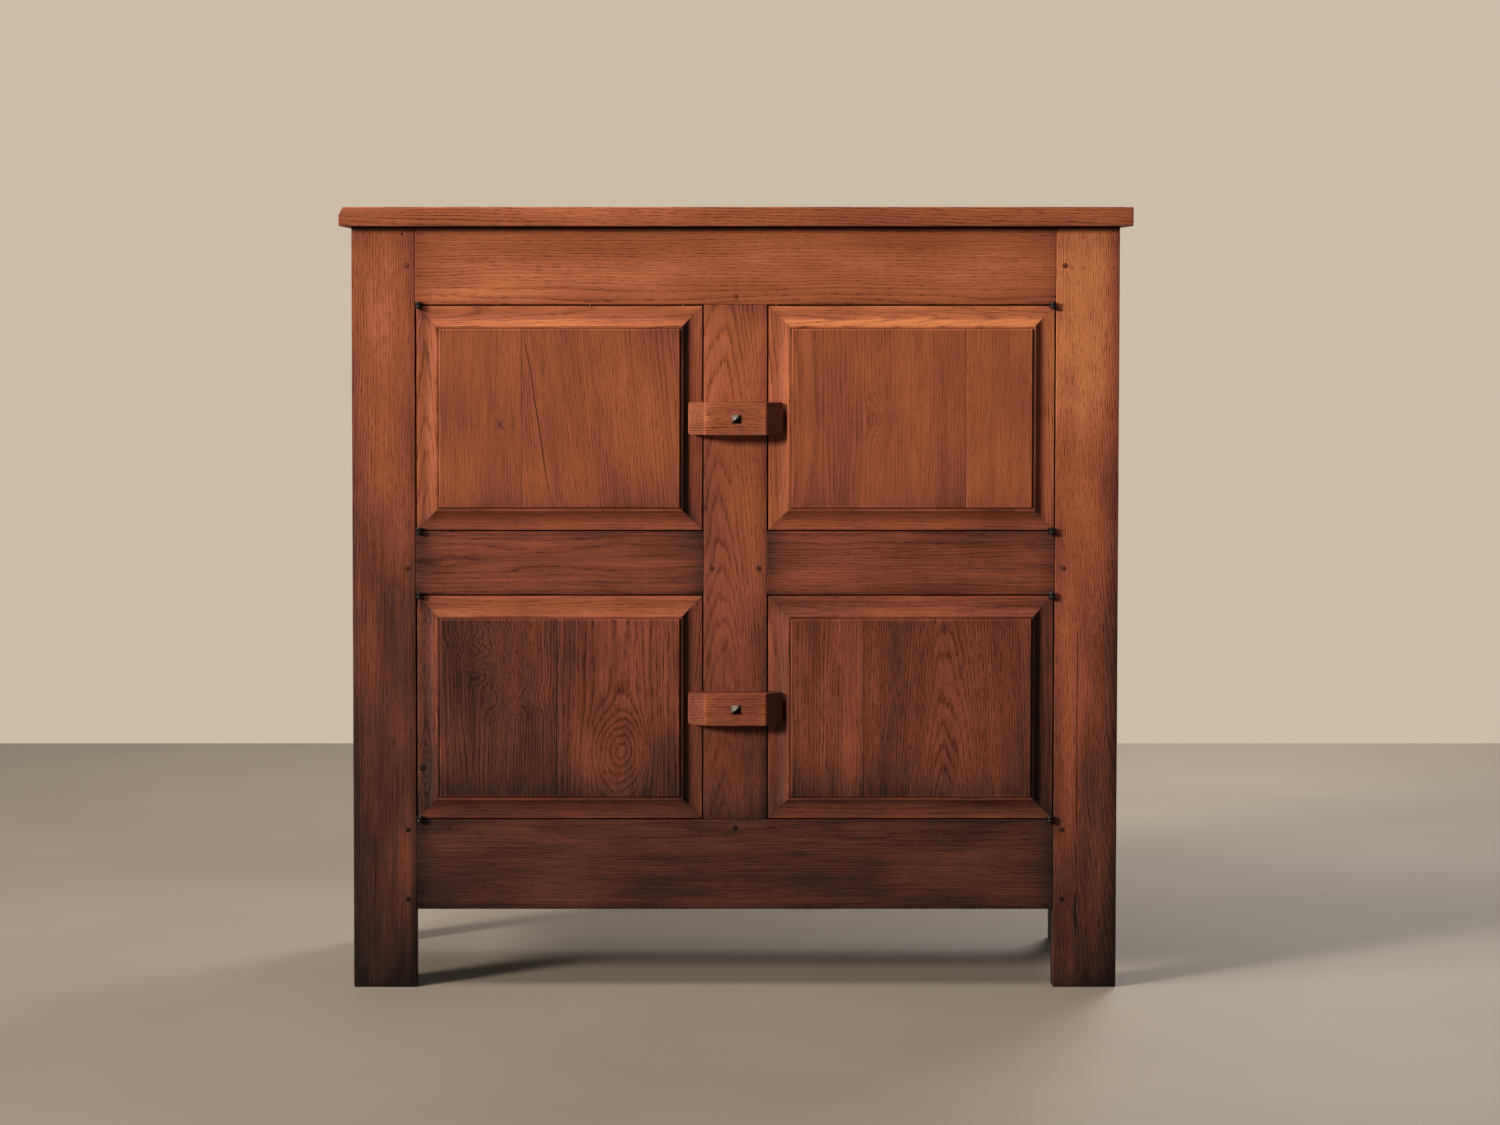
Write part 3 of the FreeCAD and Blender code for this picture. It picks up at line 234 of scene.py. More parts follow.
def wood(name, colours, roughness, turn=None):
    """Ring-porous wood cut from one tree per board.

    Grain is a place in the tree: along the trunk, then across and away from the pith. Rings are the
    distance from the pith in steps of one ring, each with a dark porous start that fades; pores are short
    dashes along the trunk, and bands, fibres and slow clouds vary the stain. Boards carry grain, stain and
    the figure's strength as attributes; CAD nodes take their Object coordinates, turned so that the trunk
    lies along the first axis.
    """
    if name in bpy.data.materials:
        return bpy.data.materials[name]
    material, tree = empty_material(name)
    if turn is None:
        grain = add_node(tree, "Attribute", attribute_name="grain").outputs["Vector"]
        figure = add_node(tree, "Attribute", attribute_name="figure").outputs["Fac"]
    else:
        figure = 0.7
        spot = add_node(tree, "TexCoord").outputs["Object"]
        pith = {"Vector": spot, "Rotation": turn, "Location": (0.4, 0.31, 0.83)}
        grain = add_node(tree, "Mapping", pith)
    shade = add_node(tree, "Attribute", attribute_name="stain").outputs["Fac"]

    noises = {}
    for pattern, (long, wide, detail) in PATTERNS.items():
        scale = (MM_IN_METRE / long, MM_IN_METRE / wide, MM_IN_METRE / wide)
        scaled = add_node(tree, "Mapping", {"Vector": grain, "Scale": scale})
        noises[pattern] = add_node(tree, "TexNoise", {"Vector": scaled, "Scale": 1.0, "Detail": detail})

    bent = grain
    for pattern, reach in (("sway", 12 * MM), ("jitter", 0.9 * MM)):
        inputs = {0: noises[pattern].outputs["Color"], 1: (0, reach, reach), 2: bent}
        bent = add_node(tree, "VectorMath", inputs, operation="MULTIPLY_ADD")
    flat = add_node(tree, "VectorMath", {0: bent, 1: (0, 1, 1)}, operation="MULTIPLY")
    radius = add_node(tree, "VectorMath", {0: flat}, operation="LENGTH").outputs["Value"]
    # Some years' rings are wider than others
    years = {"W": radius, "Scale": MM_IN_METRE / YEARS_APART, "Detail": 1.0}
    years = add_node(tree, "TexNoise", years, noise_dimensions="1D")
    years = add_node(tree, "Math", {0: years, 1: 2.2}, operation="MULTIPLY")
    phase = {0: radius, 1: MM_IN_METRE / RING_WIDTH, 2: years}
    phase = add_node(tree, "Math", phase, operation="MULTIPLY_ADD")
    phase = add_node(tree, "Math", {0: phase}, operation="FRACT")
    rings = add_node(tree, "ValToRGB", {"Fac": phase})
    for step, dark in RING_STEPS:
        rings.color_ramp.elements.new(step).color = (dark, dark, dark, 1)
    rings.color_ramp.elements[0].color = (1, 1, 1, 1)

    pores = add_node(tree, "MapRange", {"Value": noises["pores"], "From Min": 0.5, "From Max": 0.68})
    open_pores = add_node(tree, "MapRange", {"Value": rings, "To Min": 0.3, "To Max": 0.92})
    pores = add_node(tree, "Math", {0: pores, 1: open_pores}, operation="MULTIPLY")
    # Rings stand out in some places and fade in others
    clear = {"From Min": 0.35, "From Max": 0.65, "To Min": 0.35, "To Max": 0.8}
    clear = add_node(tree, "MapRange", {"Value": noises["clouds"], **clear})
    lines = add_node(tree, "Math", {0: rings, 1: clear, 2: pores}, operation="MULTIPLY_ADD")
    lines = add_node(tree, "Math", {0: lines, 1: figure}, operation="MULTIPLY", use_clamp=True)

    for pattern, share in (("clouds", 0.68), ("bands", 0.26), ("fibres", 0.52)):
        centred = {"Value": noises[pattern], "To Min": -share / 2, "To Max": share / 2}
        centred = add_node(tree, "MapRange", centred, clamp=False)
        shade = add_node(tree, "Math", {0: shade, 1: centred}, operation="ADD")
    # Stain runs from -0.5, rubbed bare, over 0 to 1, black
    shade = add_node(tree, "MapRange", {"Value": shade, "From Min": -0.5, "From Max": 1.0})
    tones = add_node(tree, "ValToRGB", {"Fac": shade})
    ramp = tones.color_ramp.elements
    ramp[0].color = (*colours[0], 1)
    ramp[1].color = (*colours[-1], 1)
    for step, tone in zip(np.linspace(0, 1, len(colours))[1:-1], colours[1:-1]):
        ramp.new(step).color = (*tone, 1)
    veined = {0: lines, 6: tones, 7: RING_STAIN}
    veined = add_node(tree, "Mix", veined, data_type="RGBA", blend_type="MULTIPLY").outputs[2]

    rough = add_node(tree, "MapRange", {"Value": lines, "To Min": roughness, "To Max": roughness + 0.2})
    relief = add_node(tree, "Math", {0: noises["fibres"], 1: lines}, operation="SUBTRACT")
    bump = add_node(tree, "Bump", {"Height": relief, "Strength": 0.35, "Distance": 0.5 * MM})
    surface(tree, Base_Color=veined, Roughness=rough, Normal=bump, IOR=1.45, Specular_IOR_Level=0.15)
    return material


def stained_chestnut():
    """Chestnut, hand-planed, stained red-brown and waxed: dark porous rings under a satin sheen."""
    shades = bpy.context.scene.cabinet_colours
    tones = [shades.rubbed, shades.pale, shades.middle, shades.deep, shades.dark, shades.soot]
    return wood("chestnut_planed_stained_waxed", tones, 0.55)


def bare_chestnut(axis=None):
    """Chestnut, sawn and left bare: the same grain, dull and grey-brown with age."""
    shades = bpy.context.scene.cabinet_colours
    tones = [shades.bare, shades.bare, shades.bare_dark, shades.dark]
    turns = {None: None, "x": (0, 0, 0), "z": (0, math.pi / 2, 0)}
    name = "chestnut_sawn_bare" if axis is None else f"chestnut_sawn_bare_along_{axis}"
    return wood(name, tones, 0.6, turns[axis])


def forged_iron():
    """Iron, forged and blackened in the fire: dark scale, bright metal where hands and tools rubbed it, and
    on the latch screws a painted highlight on the facets that face the light.
    """
    name = "iron_forged_blackened"
    if name in bpy.data.materials:
        return bpy.data.materials[name]
    shades = bpy.context.scene.cabinet_colours
    material, tree = empty_material(name)
    spot = add_node(tree, "TexCoord").outputs["Object"]
    # Hammer marks about 3 mm wide and scale in 1.5 mm flakes
    hammer = add_node(tree, "TexNoise", {"Vector": spot, "Scale": MM_IN_METRE / 3, "Detail": 1.0})
    flakes = add_node(tree, "TexNoise", {"Vector": spot, "Scale": MM_IN_METRE / 1.5, "Detail": 3.0})
    rubbed = add_node(tree, "Attribute", attribute_name="stain").outputs["Fac"]
    bright = add_node(tree, "Math", {0: flakes, 1: rubbed}, operation="ADD")
    bright = add_node(tree, "MapRange", {"Value": bright, "From Min": 0.45, "From Max": 0.85})
    shown = {0: bright, 6: (*shades.scale, 1), 7: (*shades.iron, 1)}
    shown = add_node(tree, "Mix", shown, data_type="RGBA").outputs[2]
    rough = add_node(tree, "MapRange", {"Value": bright, "To Min": 0.6, "To Max": 0.42})
    bump = add_node(tree, "Bump", {"Height": hammer, "Strength": 0.5, "Distance": 0.3 * MM})
    surface(tree, Base_Color=shown, Roughness=rough, Normal=bump, Metallic=1.0)
    return material


FINISHES = {"stained_wood": stained_chestnut, "plain_wood": bare_chestnut, "forged_iron": forged_iron}


# Shapes: a piece's part is its points, its faces, and each point's grain, stain and strength of figure

Part = namedtuple("Part", "points faces grain stain figure")
# Where a part stands: its own zero, and the ways of its length, its width and its outer face
Stand = namedtuple("Stand", "origin along across out")
# A tree: seed of its chance values and, where given, the pith's place and lean, swellings of the
# rings, dark or pale spots and the strength of the figure
Tree = namedtuple("Tree", "seed pith lean swells spots figure", defaults=(None, None, (), (), 1.0))
# Edges that turn more than this stay crisp
CRISP = math.radians(38)
# How far dirt reaches in from a board's ends and sides, from a panel field's edge and from a door's mitres
END_SOIL, SIDE_SOIL, FIELD_SOIL, MITRE_SOIL = 22 * MM, 6 * MM, 8 * MM, 12 * MM
# Stain that use has rubbed off a board's arrises, a panel field's edge and a door's ridge
ARRIS_RUB, FIELD_RUB, RIDGE_RUB = 0.35, 0.45, 0.3
# Stain gathered on a panel's tongue, beside its field, in its seam, in a door's quirk and at its mitres
TONGUE_STAIN, FIELD_STAIN, SEAM_STAIN, QUIRK_STAIN, MITRE_STAIN = 0.2, 0.12, 0.5, 0.3, 0.12
# Darker feet: partly dirt, partly painted shade
FOOT_DIRT_AND_SHADE = 0.15


def bells(local, hills):
    """Sum of bell curves: a hill is its place along and across, its spread along and across, its height."""
    total = np.zeros(len(local))
    for at, beside, spread_along, spread_across, height in hills:
        far = ((local[:, 0] - at) / spread_along) ** 2 + ((local[:, 1] - beside) / spread_across) ** 2
        total += height * np.exp(-far)
    return total


def burr(seed, middle, spread, count=26):
    """Chance swellings close together, as in the curly wood round a burr."""
    rng = np.random.default_rng(seed)
    hills = np.hstack([rng.normal(middle, spread, (count, 2)), rng.uniform(0.009, 0.022, (count, 2))])
    return [(*hill, height) for hill, height in zip(hills, rng.uniform(-0.013, 0.013, count))]


def pin_knot(at, beside, swell, spot):
    """Rings that swell round a small dark knot; swell and spot are two spreads and a height."""
    return {"swells": [(at, beside, *swell)], "spots": [(at, beside, *spot)]}


def grain_of(local, tree):
    """Place of points in their tree: length, then width and thickness from a pith that leans along it."""
    rng = np.random.default_rng(tree.seed)
    # By chance the pith lies up to 90 mm to a side and 30 to 100 mm behind the face
    pith = np.array([rng.uniform(-0.09, 0.09), -rng.uniform(0.03, 0.1)])
    lean = np.array([rng.normal(0, 0.012), rng.normal(0, 0.03)])
    start = rng.uniform(0, 40)
    pith = pith if tree.pith is None else np.array(tree.pith)
    lean = lean if tree.lean is None else np.array(tree.lean)
    grain = local.copy()
    grain[:, 1:] -= pith + local[:, :1] * lean
    grain[:, 2] += bells(local, tree.swells)
    grain[:, 0] += start
    return grain


def place(stand, local, faces, tree, stain, trunk=(0, 1, 2)):
    """Puts a part into the cabinet's frame; a left-handed stand turns its faces round.

    Trunk names the local axes that lie along the tree, across it and away from its pith.
    """
    local = local.reshape(-1, 3)
    axes = np.array([stand.along, stand.across, stand.out])
    points = np.asarray(stand.origin) + local @ axes
    if np.linalg.det(axes) < 0:
        faces = [face[::-1] for face in faces]
    in_tree = local[:, trunk]
    stain = stain.ravel() + bells(in_tree, tree.spots)
    return Part(points, faces, grain_of(in_tree, tree), stain, np.full(len(local), tree.figure))


def loft(rows, ring):
    """Quads between neighbouring rows of a closed ring, and a face over each end."""
    index = np.arange(rows * ring).reshape(rows, ring)
    following = np.roll(index, -1, axis=1)
    quads = np.stack([index[:-1], following[:-1], following[1:], index[1:]], axis=-1).reshape(-1, 4)
    return quads.tolist() + [index[0][::-1].tolist(), index[-1].tolist()]


def arc(centre, radius, start, end, steps=4):
    """Points on a circle from one angle to another, in degrees."""
    angles = np.radians(np.linspace(start, end, steps))
    return np.stack([centre[0] + radius * np.cos(angles), centre[1] + radius * np.sin(angles)], axis=1)


def quarter_round(arris, steps=4):
    """Rows over a rounded end: each row's distance from the end, and how far it is drawn in."""
    turn = np.linspace(0, np.pi / 2, steps)
    return arris * (1 - np.cos(turn)), arris * (1 - np.sin(turn))


def ripple(rng, first, second, wavelengths=(0.31, 0.17, 0.075)):
    """Slow waves between 0 and 1: the mean of sines that cross the surface at chance angles."""
    total = np.zeros(np.broadcast(first, second).shape)
    for wavelength in wavelengths:
        angle = rng.uniform(-0.5, 0.5)
        beat = rng.uniform(0, 2 * np.pi)
        total += np.sin(2 * np.pi * (first * np.cos(angle) + second * np.sin(angle)) / wavelength + beat)
    return 0.5 + total / (2 * len(wavelengths))


def rectangle_ring(columns, edge_columns, steps=4):
    """A rounded rectangle's points, counter-clockwise: share of the straight sides, and outward normal.

    A point is share * (half size - radius) + normal * radius.
    """
    shares, normals = [], []
    for quarter, count in enumerate((columns, edge_columns, columns, edge_columns)):
        turn = quarter * np.pi / 2
        way = np.array([[np.cos(turn), np.sin(turn)], [-np.sin(turn), np.cos(turn)]])
        run = np.stack([np.linspace(1, -1, count), np.ones(count)], axis=1)
        corner = np.repeat([[-1.0, 1.0]], steps - 2, axis=0)
        bend = np.pi / 2 + np.linspace(0, np.pi / 2, steps)[1:-1]
        upright = np.repeat([[0.0, 1.0]], count, axis=0)
        shares += [run @ way, corner @ way]
        normals += [upright @ way, np.stack([np.cos(bend), np.sin(bend)], 1) @ way]
    return np.concatenate(shares), np.concatenate(normals)


def board(stand, extent, tree, tone=0.0, soil=(0.3, 0.15), arris=None, bevel=None, step=0.012):
    """Plank about its own middle: a rounded rectangle carried along its length, its ends quarter round.

    The faces fall away from flat by slow waves, as a hand plane leaves them, and the arrises wear unevenly.
    A bevel (length, height) cuts the outer face down towards the low end. Stain is the tone, more towards
    ends and sides by soil, less along the arrises.
    """
    sizes = bpy.context.scene.cabinet_sizes
    long, wide, thick = extent
    arris = sizes.arris if arris is None else arris
    rng = np.random.default_rng(tree.seed + 1)
    half = long / 2 - sizes.joint_play / 2
    run = half - 2 * arris
    rows, drawn = quarter_round(arris)
    low_rows, low_drawn, low_run = rows, drawn, -run
    if bevel:
        low_rows = np.concatenate([rows, np.linspace(2 * arris, bevel[0] + arris, 4)])
        low_drawn = np.concatenate([drawn, np.zeros(4)])
        low_run = bevel[0] + 2 * arris - half
    count = max(3, int(long / step))
    along = np.concatenate([low_rows - half, np.linspace(low_run, run, count), half - rows[::-1]])
    inset = np.concatenate([low_drawn, np.zeros(count), drawn[::-1]])
    shares, normals = rectangle_ring(*(max(3, int(side / step) + 1) for side in (wide, thick)))
    worn = arris * (0.6 + 0.8 * ripple(rng, along, 0.0, (0.23, 0.09, 0.04)))
    radius = np.maximum(worn - inset, 0.15 * arris)
    halves = np.array([wide, thick])[None, :] / 2 - sizes.joint_play / 2 - inset[:, None]
    section = shares[None] * (halves - radius[:, None])[:, None] + normals[None] * radius[:, None, None]
    marks = sizes.plane_marks if arris > 0.5 * MM else 0.0
    fall = marks * ripple(rng, along[:, None], section[..., 0] + section[..., 1])
    section = section - normals[None] * fall[..., None]
    if bevel:
        limit = thick / 2 - bevel[1] * np.clip(1 - (along + half) / bevel[0], 0, 1)
        section[..., 1] = np.minimum(section[..., 1], limit[:, None])
    lengths = np.broadcast_to(along[:, None, None], (*section.shape[:2], 1))
    local = np.concatenate([lengths, section], axis=2)
    rub = 2 * np.abs(normals[:, 0] * normals[:, 1])[None]
    rub = rub * ripple(rng, along[:, None], 0.0, (0.2, 0.07, 0.03))
    near_end = np.exp(-(long / 2 - np.abs(local[..., 0])) / END_SOIL)
    near_side = np.exp(-(wide / 2 - np.abs(local[..., 1])) / SIDE_SOIL)
    stain = tone + soil[0] * near_end + soil[1] * near_side - ARRIS_RUB * rub
    return place(stand, local, loft(len(along), len(shares)), tree, stain)


def darken_towards_floor(part, fade):
    """More stain towards the floor, most on the feet: partly wood darkened by damp, mops and boots, partly
    painted shade on the lower parts.
    """
    height = part.points[:, 2]
    low = fade * np.clip(1 - height / CARCASS_TOP, 0, 1)
    feet = FOOT_DIRT_AND_SHADE * np.clip(1 - height / RAILS["bottom"][0], 0, 1)
    return part._replace(stain=part.stain + (low + feet))


def box_board(low, high, along, out, tree, tone, fade=0.3, **more):
    """A board that fills a box, with its length and its outer face along given axes."""
    across = np.cross(out, along)
    extent = [abs(float((high - low) @ way)) for way in (along, across, out)]
    stand = Stand((low + high) / 2, along, across, out)
    return darken_towards_floor(board(stand, extent, tree, tone, **more), fade)


def painted_shadow_under_top(left, right):
    """A thin dark strip in the angle between the front and the top: a painted shadow of the top's overhang.
    """
    low = np.array([left, FACE - 0.25 * MM, CARCASS_TOP - 3.2 * MM])
    high = np.array([right, FACE + MM, CARCASS_TOP])
    return box_board(low, high, X, -Y, Tree(0, figure=0.0), 1.0, 0.0, soil=(0, 0), arris=0.15 * MM)


def stations(half, low, high, close, step):
    """Grid lines from low to high: close ones at given distances from both edges, and even ones between."""
    lines = np.concatenate([close - half, half - close, np.arange(low, high, step), [low, high]])
    return np.unique(np.round(np.clip(lines, low, high), 6))


def panel_board(stand, halves, reach, levels, inset, tree, tone, step=0.005):
    """One board of a floating panel, as a height over length and width, closed by a flat back.

    The tongue runs round the panel's edge; the field rises from it in a quarter round. Distance from the
    panel's nearest edge gives the height, and towards a glued seam the face dips by the seam's depth. Reach
    is the board's part of the panel's width, levels are tongue face, field face and back.
    """
    sizes = bpy.context.scene.cabinet_sizes
    rounding = sizes.field_arris
    bend = rounding * np.array([0, 0.04, 0.15, 0.3, 0.5, 0.75, 1, 1.6])
    close = np.concatenate([[0, inset / 2, inset - 0.02 * MM], inset + bend])
    along = stations(halves[0], -halves[0], halves[0], close, step)
    across = stations(halves[1], reach[0], reach[1], close, step)
    glued = [edge for edge in reach if abs(abs(edge) - halves[1]) > MM]
    seam_reach = 0.9 * MM
    for edge in glued:
        fine = edge + np.array([-seam_reach, -0.5 * MM, 0.5 * MM, seam_reach])
        across = np.unique(np.concatenate([across, fine[(fine > reach[0]) & (fine < reach[1])]]))
    rng = np.random.default_rng(tree.seed + 1)
    long, wide = np.meshgrid(along, across, indexing="ij")
    deep = np.minimum(halves[0] - np.abs(long), halves[1] - np.abs(wide))
    rise = np.clip((deep - inset) / rounding, 0, 1)
    field = levels[1] - rounding * (1 - np.sqrt(1 - (1 - rise) ** 2))
    waves = ripple(rng, long, wide)
    height = np.where(deep < inset - 0.01 * MM, levels[0], field - sizes.plane_marks * waves * rise)
    rub = np.exp(-(((deep - inset) / rounding - 0.5) ** 2)) * waves
    soil = FIELD_STAIN * np.exp(-np.maximum(deep - inset, 0) / FIELD_SOIL)
    soil = soil + TONGUE_STAIN * (deep < inset) - FIELD_RUB * rub
    for edge in glued:
        dip = np.clip(1 - np.abs(wide - edge) / seam_reach, 0, 1)
        height -= sizes.seam * dip
        soil += SEAM_STAIN * dip
    front = np.stack([long, wide, height], axis=-1).reshape(-1, 3)
    rear = np.stack([long, wide, np.full_like(long, levels[2])], axis=-1).reshape(-1, 3)
    top = np.arange(long.size).reshape(long.shape)
    quads = np.stack([top[:-1, :-1], top[1:, :-1], top[1:, 1:], top[:-1, 1:]], axis=-1).reshape(-1, 4)
    border = np.concatenate([top[:-1, 0], top[-1, :-1], top[:0:-1, -1], top[0, :0:-1]])
    following = np.roll(border, -1)
    walls = np.stack([border, border + long.size, following + long.size, following], axis=-1)
    back = quads[:, [0, 3, 2, 1]] + long.size
    stain = np.concatenate([(tone + soil).ravel(), np.full(long.size, tone)])
    faces = np.concatenate([quads, walls, back]).tolist()
    return place(stand, np.concatenate([front, rear]), faces, tree, stain)


def door_section():
    """Door member across its width: worn arris, flat margin, cove, flat-topped ridge, lip, groove, back.

    The cove is a circle that leaves the margin level and rises to the ridge. Points run from the back's
    outer edge over the front, as distance from the door's edge and height over the face.
    """
    sizes = bpy.context.scene.cabinet_sizes
    worn, crest_edge, inner_worn = 0.6 * MM, 0.4 * MM, 0.4 * MM
    ridge, ridge_at = sizes.ridge, sizes.door_margin + sizes.cove
    radius = (ridge**2 + sizes.cove**2) / (2 * ridge)
    run = np.linspace(0, sizes.cove - crest_edge, 12)
    cove = np.stack([sizes.door_margin + run, radius - np.sqrt(radius**2 - run**2)], axis=1)
    crest = arc((ridge_at + crest_edge, ridge - worn), worn, 125, 90)
    edge = sizes.door_frame - sizes.joint_play
    inner_crest = arc((edge - inner_worn, ridge - inner_worn), inner_worn, 90, 0)
    bottom = sizes.door_frame - sizes.groove
    upper, lower = -sizes.lip, -sizes.lip - sizes.groove
    groove = [[edge, 0.0], [edge, upper], [bottom, upper], [bottom, lower], [edge, lower]]
    inner = arc((edge - worn, worn - sizes.door_thickness), worn, 0, -90)
    outer = arc((worn + sizes.joint_play, worn - sizes.door_thickness), worn, 270, 180)
    front = arc((worn + sizes.joint_play, -worn), worn, 180, 90)
    return np.concatenate([outer, front, cove, crest, inner_crest, groove, inner])


def moulding(stand, extent, tree, tone, wear=0.0):
    """Mitred door member: its section carried along the door's edge, each run shortened by its distance in.

    Wear is painted light and shade on the steep part of the cove and its crest: taken off, it paints a
    highlight; added, it paints shade.
    """
    sizes = bpy.context.scene.cabinet_sizes
    inward, height = door_section()[::-1].T
    rng = np.random.default_rng(tree.seed + 1)
    step, arris = 0.008, 0.8 * MM
    rows = np.linspace(-1, 1, int(extent / step))
    along = rows[:, None] * (extent / 2 - inward - sizes.joint_play / 2)[None]
    waves = ripple(rng, along, inward[None])
    shown = (height > -sizes.lip / 2)[None]
    planed = height - sizes.plane_marks * waves * shown
    local = np.stack([along, np.broadcast_to(inward, along.shape), planed], axis=-1)
    ridge_at = sizes.door_margin + sizes.cove
    rub = np.exp(-(((inward - ridge_at - 0.3 * MM) / arris) ** 2)) * (height > 0)
    rub = rub + 0.8 * np.exp(-(((inward - 0.6 * MM) / arris) ** 2)) * (height > -MM)
    quirk = np.exp(-np.abs(inward - sizes.door_frame) / MM) + 0.6 * (height < -MM)
    near_mitre = np.exp(-(1 - np.abs(rows)) * extent / 2 / MITRE_SOIL)
    steep = np.clip((inward - ridge_at) / (2 * MM) + 5, 0, 1) * (inward < ridge_at + MM) * (height > 0)
    stain = tone + QUIRK_STAIN * quirk[None] - RIDGE_RUB * rub[None] * waves
    # Painted light and shade: the member's wear lightens or darkens the steep part of the cove and the crest
    stain = stain + MITRE_STAIN * near_mitre[:, None] - wear * steep[None]
    return place(stand, local, loft(*along.shape), tree, stain)


def turned(stand, profile, tree, sides=20, wobble=0.0):
    """Round piece: rows of height, radius and stain carried round an axis; wobble makes it uneven."""
    rng = np.random.default_rng(tree.seed)
    angles = np.arange(sides) * 2 * np.pi / sides
    lobes = 1 + wobble * sum(np.sin(beat * angles + rng.uniform(0, 6)) for beat in (2, 3, 5))
    height, radius, stain = np.array(profile, float).T[:, :, None]
    widths = radius * lobes
    local = np.stack(np.broadcast_arrays(height, widths * np.cos(angles), widths * np.sin(angles)), axis=-1)
    return place(stand, local, loft(*widths.shape), tree, np.repeat(stain, sides))


def crack(stand, long, wide, wander, bow=0.0, stain=1.0):
    """A crack filled with dirt: an ellipse carried along its length, its width swelling to the middle.

    Wander is how far it strays to the sides as a sine, bow how far it runs askew as an S.
    """
    proud, depth = 0.2 * MM, 0.4 * MM
    run = np.linspace(-1, 1, 25)[:, None]
    half = wide / 2 * np.sqrt(np.maximum(1 - run**2, 0.01))
    angles = np.arange(8) * np.pi / 4
    across = half * np.cos(angles) + (wander * np.sin(7 * run) + bow * (run**3 - run))
    out = proud + np.minimum(half, depth) * (np.sin(angles) - 1.0)
    local = np.stack(np.broadcast_arrays(long / 2 * run, across, out), axis=-1)
    return place(stand, local, loft(*across.shape), Tree(0), np.full(across.size, stain))


def build(node, ending, parts, slot="stained_wood", body="carcass"):
    """Joins parts into one piece, and says what carries it and which CAD node it stands for."""
    name = f"{node}.{ending}"
    starts = np.cumsum([0] + [len(part.points) for part in parts[:-1]]).tolist()
    faces = [[point + start for point in face] for part, start in zip(parts, starts) for face in part.faces]
    mesh = bpy.data.meshes.new(name)
    mesh.from_pydata(np.concatenate([part.points for part in parts]), [], faces)
    for field, kind in (("grain", "FLOAT_VECTOR"), ("stain", "FLOAT"), ("figure", "FLOAT")):
        values = np.concatenate([getattr(part, field) for part in parts]).astype(np.float32)
        key = "value" if kind == "FLOAT" else "vector"
        mesh.attributes.new(field, kind, "POINT").data.foreach_set(key, values.ravel())
    mesh.shade_smooth()
    mesh.set_sharp_from_angle(angle=CRISP)
    mesh.materials.append(FINISHES[slot]())
    piece = bpy.data.objects.new(name, mesh)
    bpy.context.scene.collection.objects.link(piece)
    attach(piece, body)
    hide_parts(node)


# Operators


class CABINET_OT_posts(bpy.types.Operator):
    """Two wide front posts and two back posts, dark towards their feet"""

    bl_idname = "cabinet.posts"
    bl_label = "Posts"
    # Tone of each post, its fade towards the floor and, in front, the place of its pith
    posts = {
        "front_left": (-0.15, 0.96, (0.11, -0.05)),
        "front_right": (-0.55, 1.18, (-0.075, -0.04)),
        "back_left": (0.0, 0.7, None),
        "back_right": (0.0, 0.7, None),
    }
    # Dark and pale streaks along the front posts, and smudges across them
    streaks = {
        "front_left": [
            (0.0, 0.047, 2.0, 0.008, 0.12),
            (0.07, 0.0, 0.22, 0.5, 0.07),
            (-0.4, -0.034, 0.13, 0.012, -0.28),
        ],
        "front_right": [
            (0.0, -0.045, 2.0, 0.013, 0.3),
            (0.07, 0.0, 0.22, 0.5, 0.08),
            (0.197, -0.031, 0.06, 0.016, 0.3),
            (0.35, 0.024, 0.025, 0.013, 0.18),
            (-0.2, 0.024, 0.2, 0.012, -0.2),
            (-0.2, -0.004, 0.2, 0.012, 0.14),
        ],
    }
    # Middle's x and z, length, width and wander of drying cracks and, high on the left, of a nail hole
    cracks = {
        "front_left": [(-0.514, 1.1687, 0.004, 0.003, 0.0), (-0.559, 0.187, 0.13, 0.0016, 0.4 * MM)],
        "front_right": [(0.5285, 0.113, 0.072, 0.0036, 0.4 * MM), (0.5295, 0.37, 0.38, 0.0011, 0.4 * MM)],
    }

    def execute(self, context):
        for name, (tone, fade, pith) in self.posts.items():
            node = f"{name}_post"
            low, high = box(node)
            tree = Tree(SEEDS[node], pith, spots=self.streaks.get(name, ()), figure=0.8)
            out = -Y if name.startswith("front") else Y
            parts = [box_board(low, high, Z, out, tree, tone, fade, soil=(0.15, 0.15), arris=1.4 * MM)]
            # The front posts' heads carry a painted shadow of the top's overhang
            if name.startswith("front"):
                parts.append(painted_shadow_under_top(low[0], high[0]))
            for x, z, *shape in self.cracks.get(name, ()):
                parts.append(crack(Stand((x, FACE, z), Z, -X, -Y), *shape))
            build(node, "worn", parts)
        return {"FINISHED"}


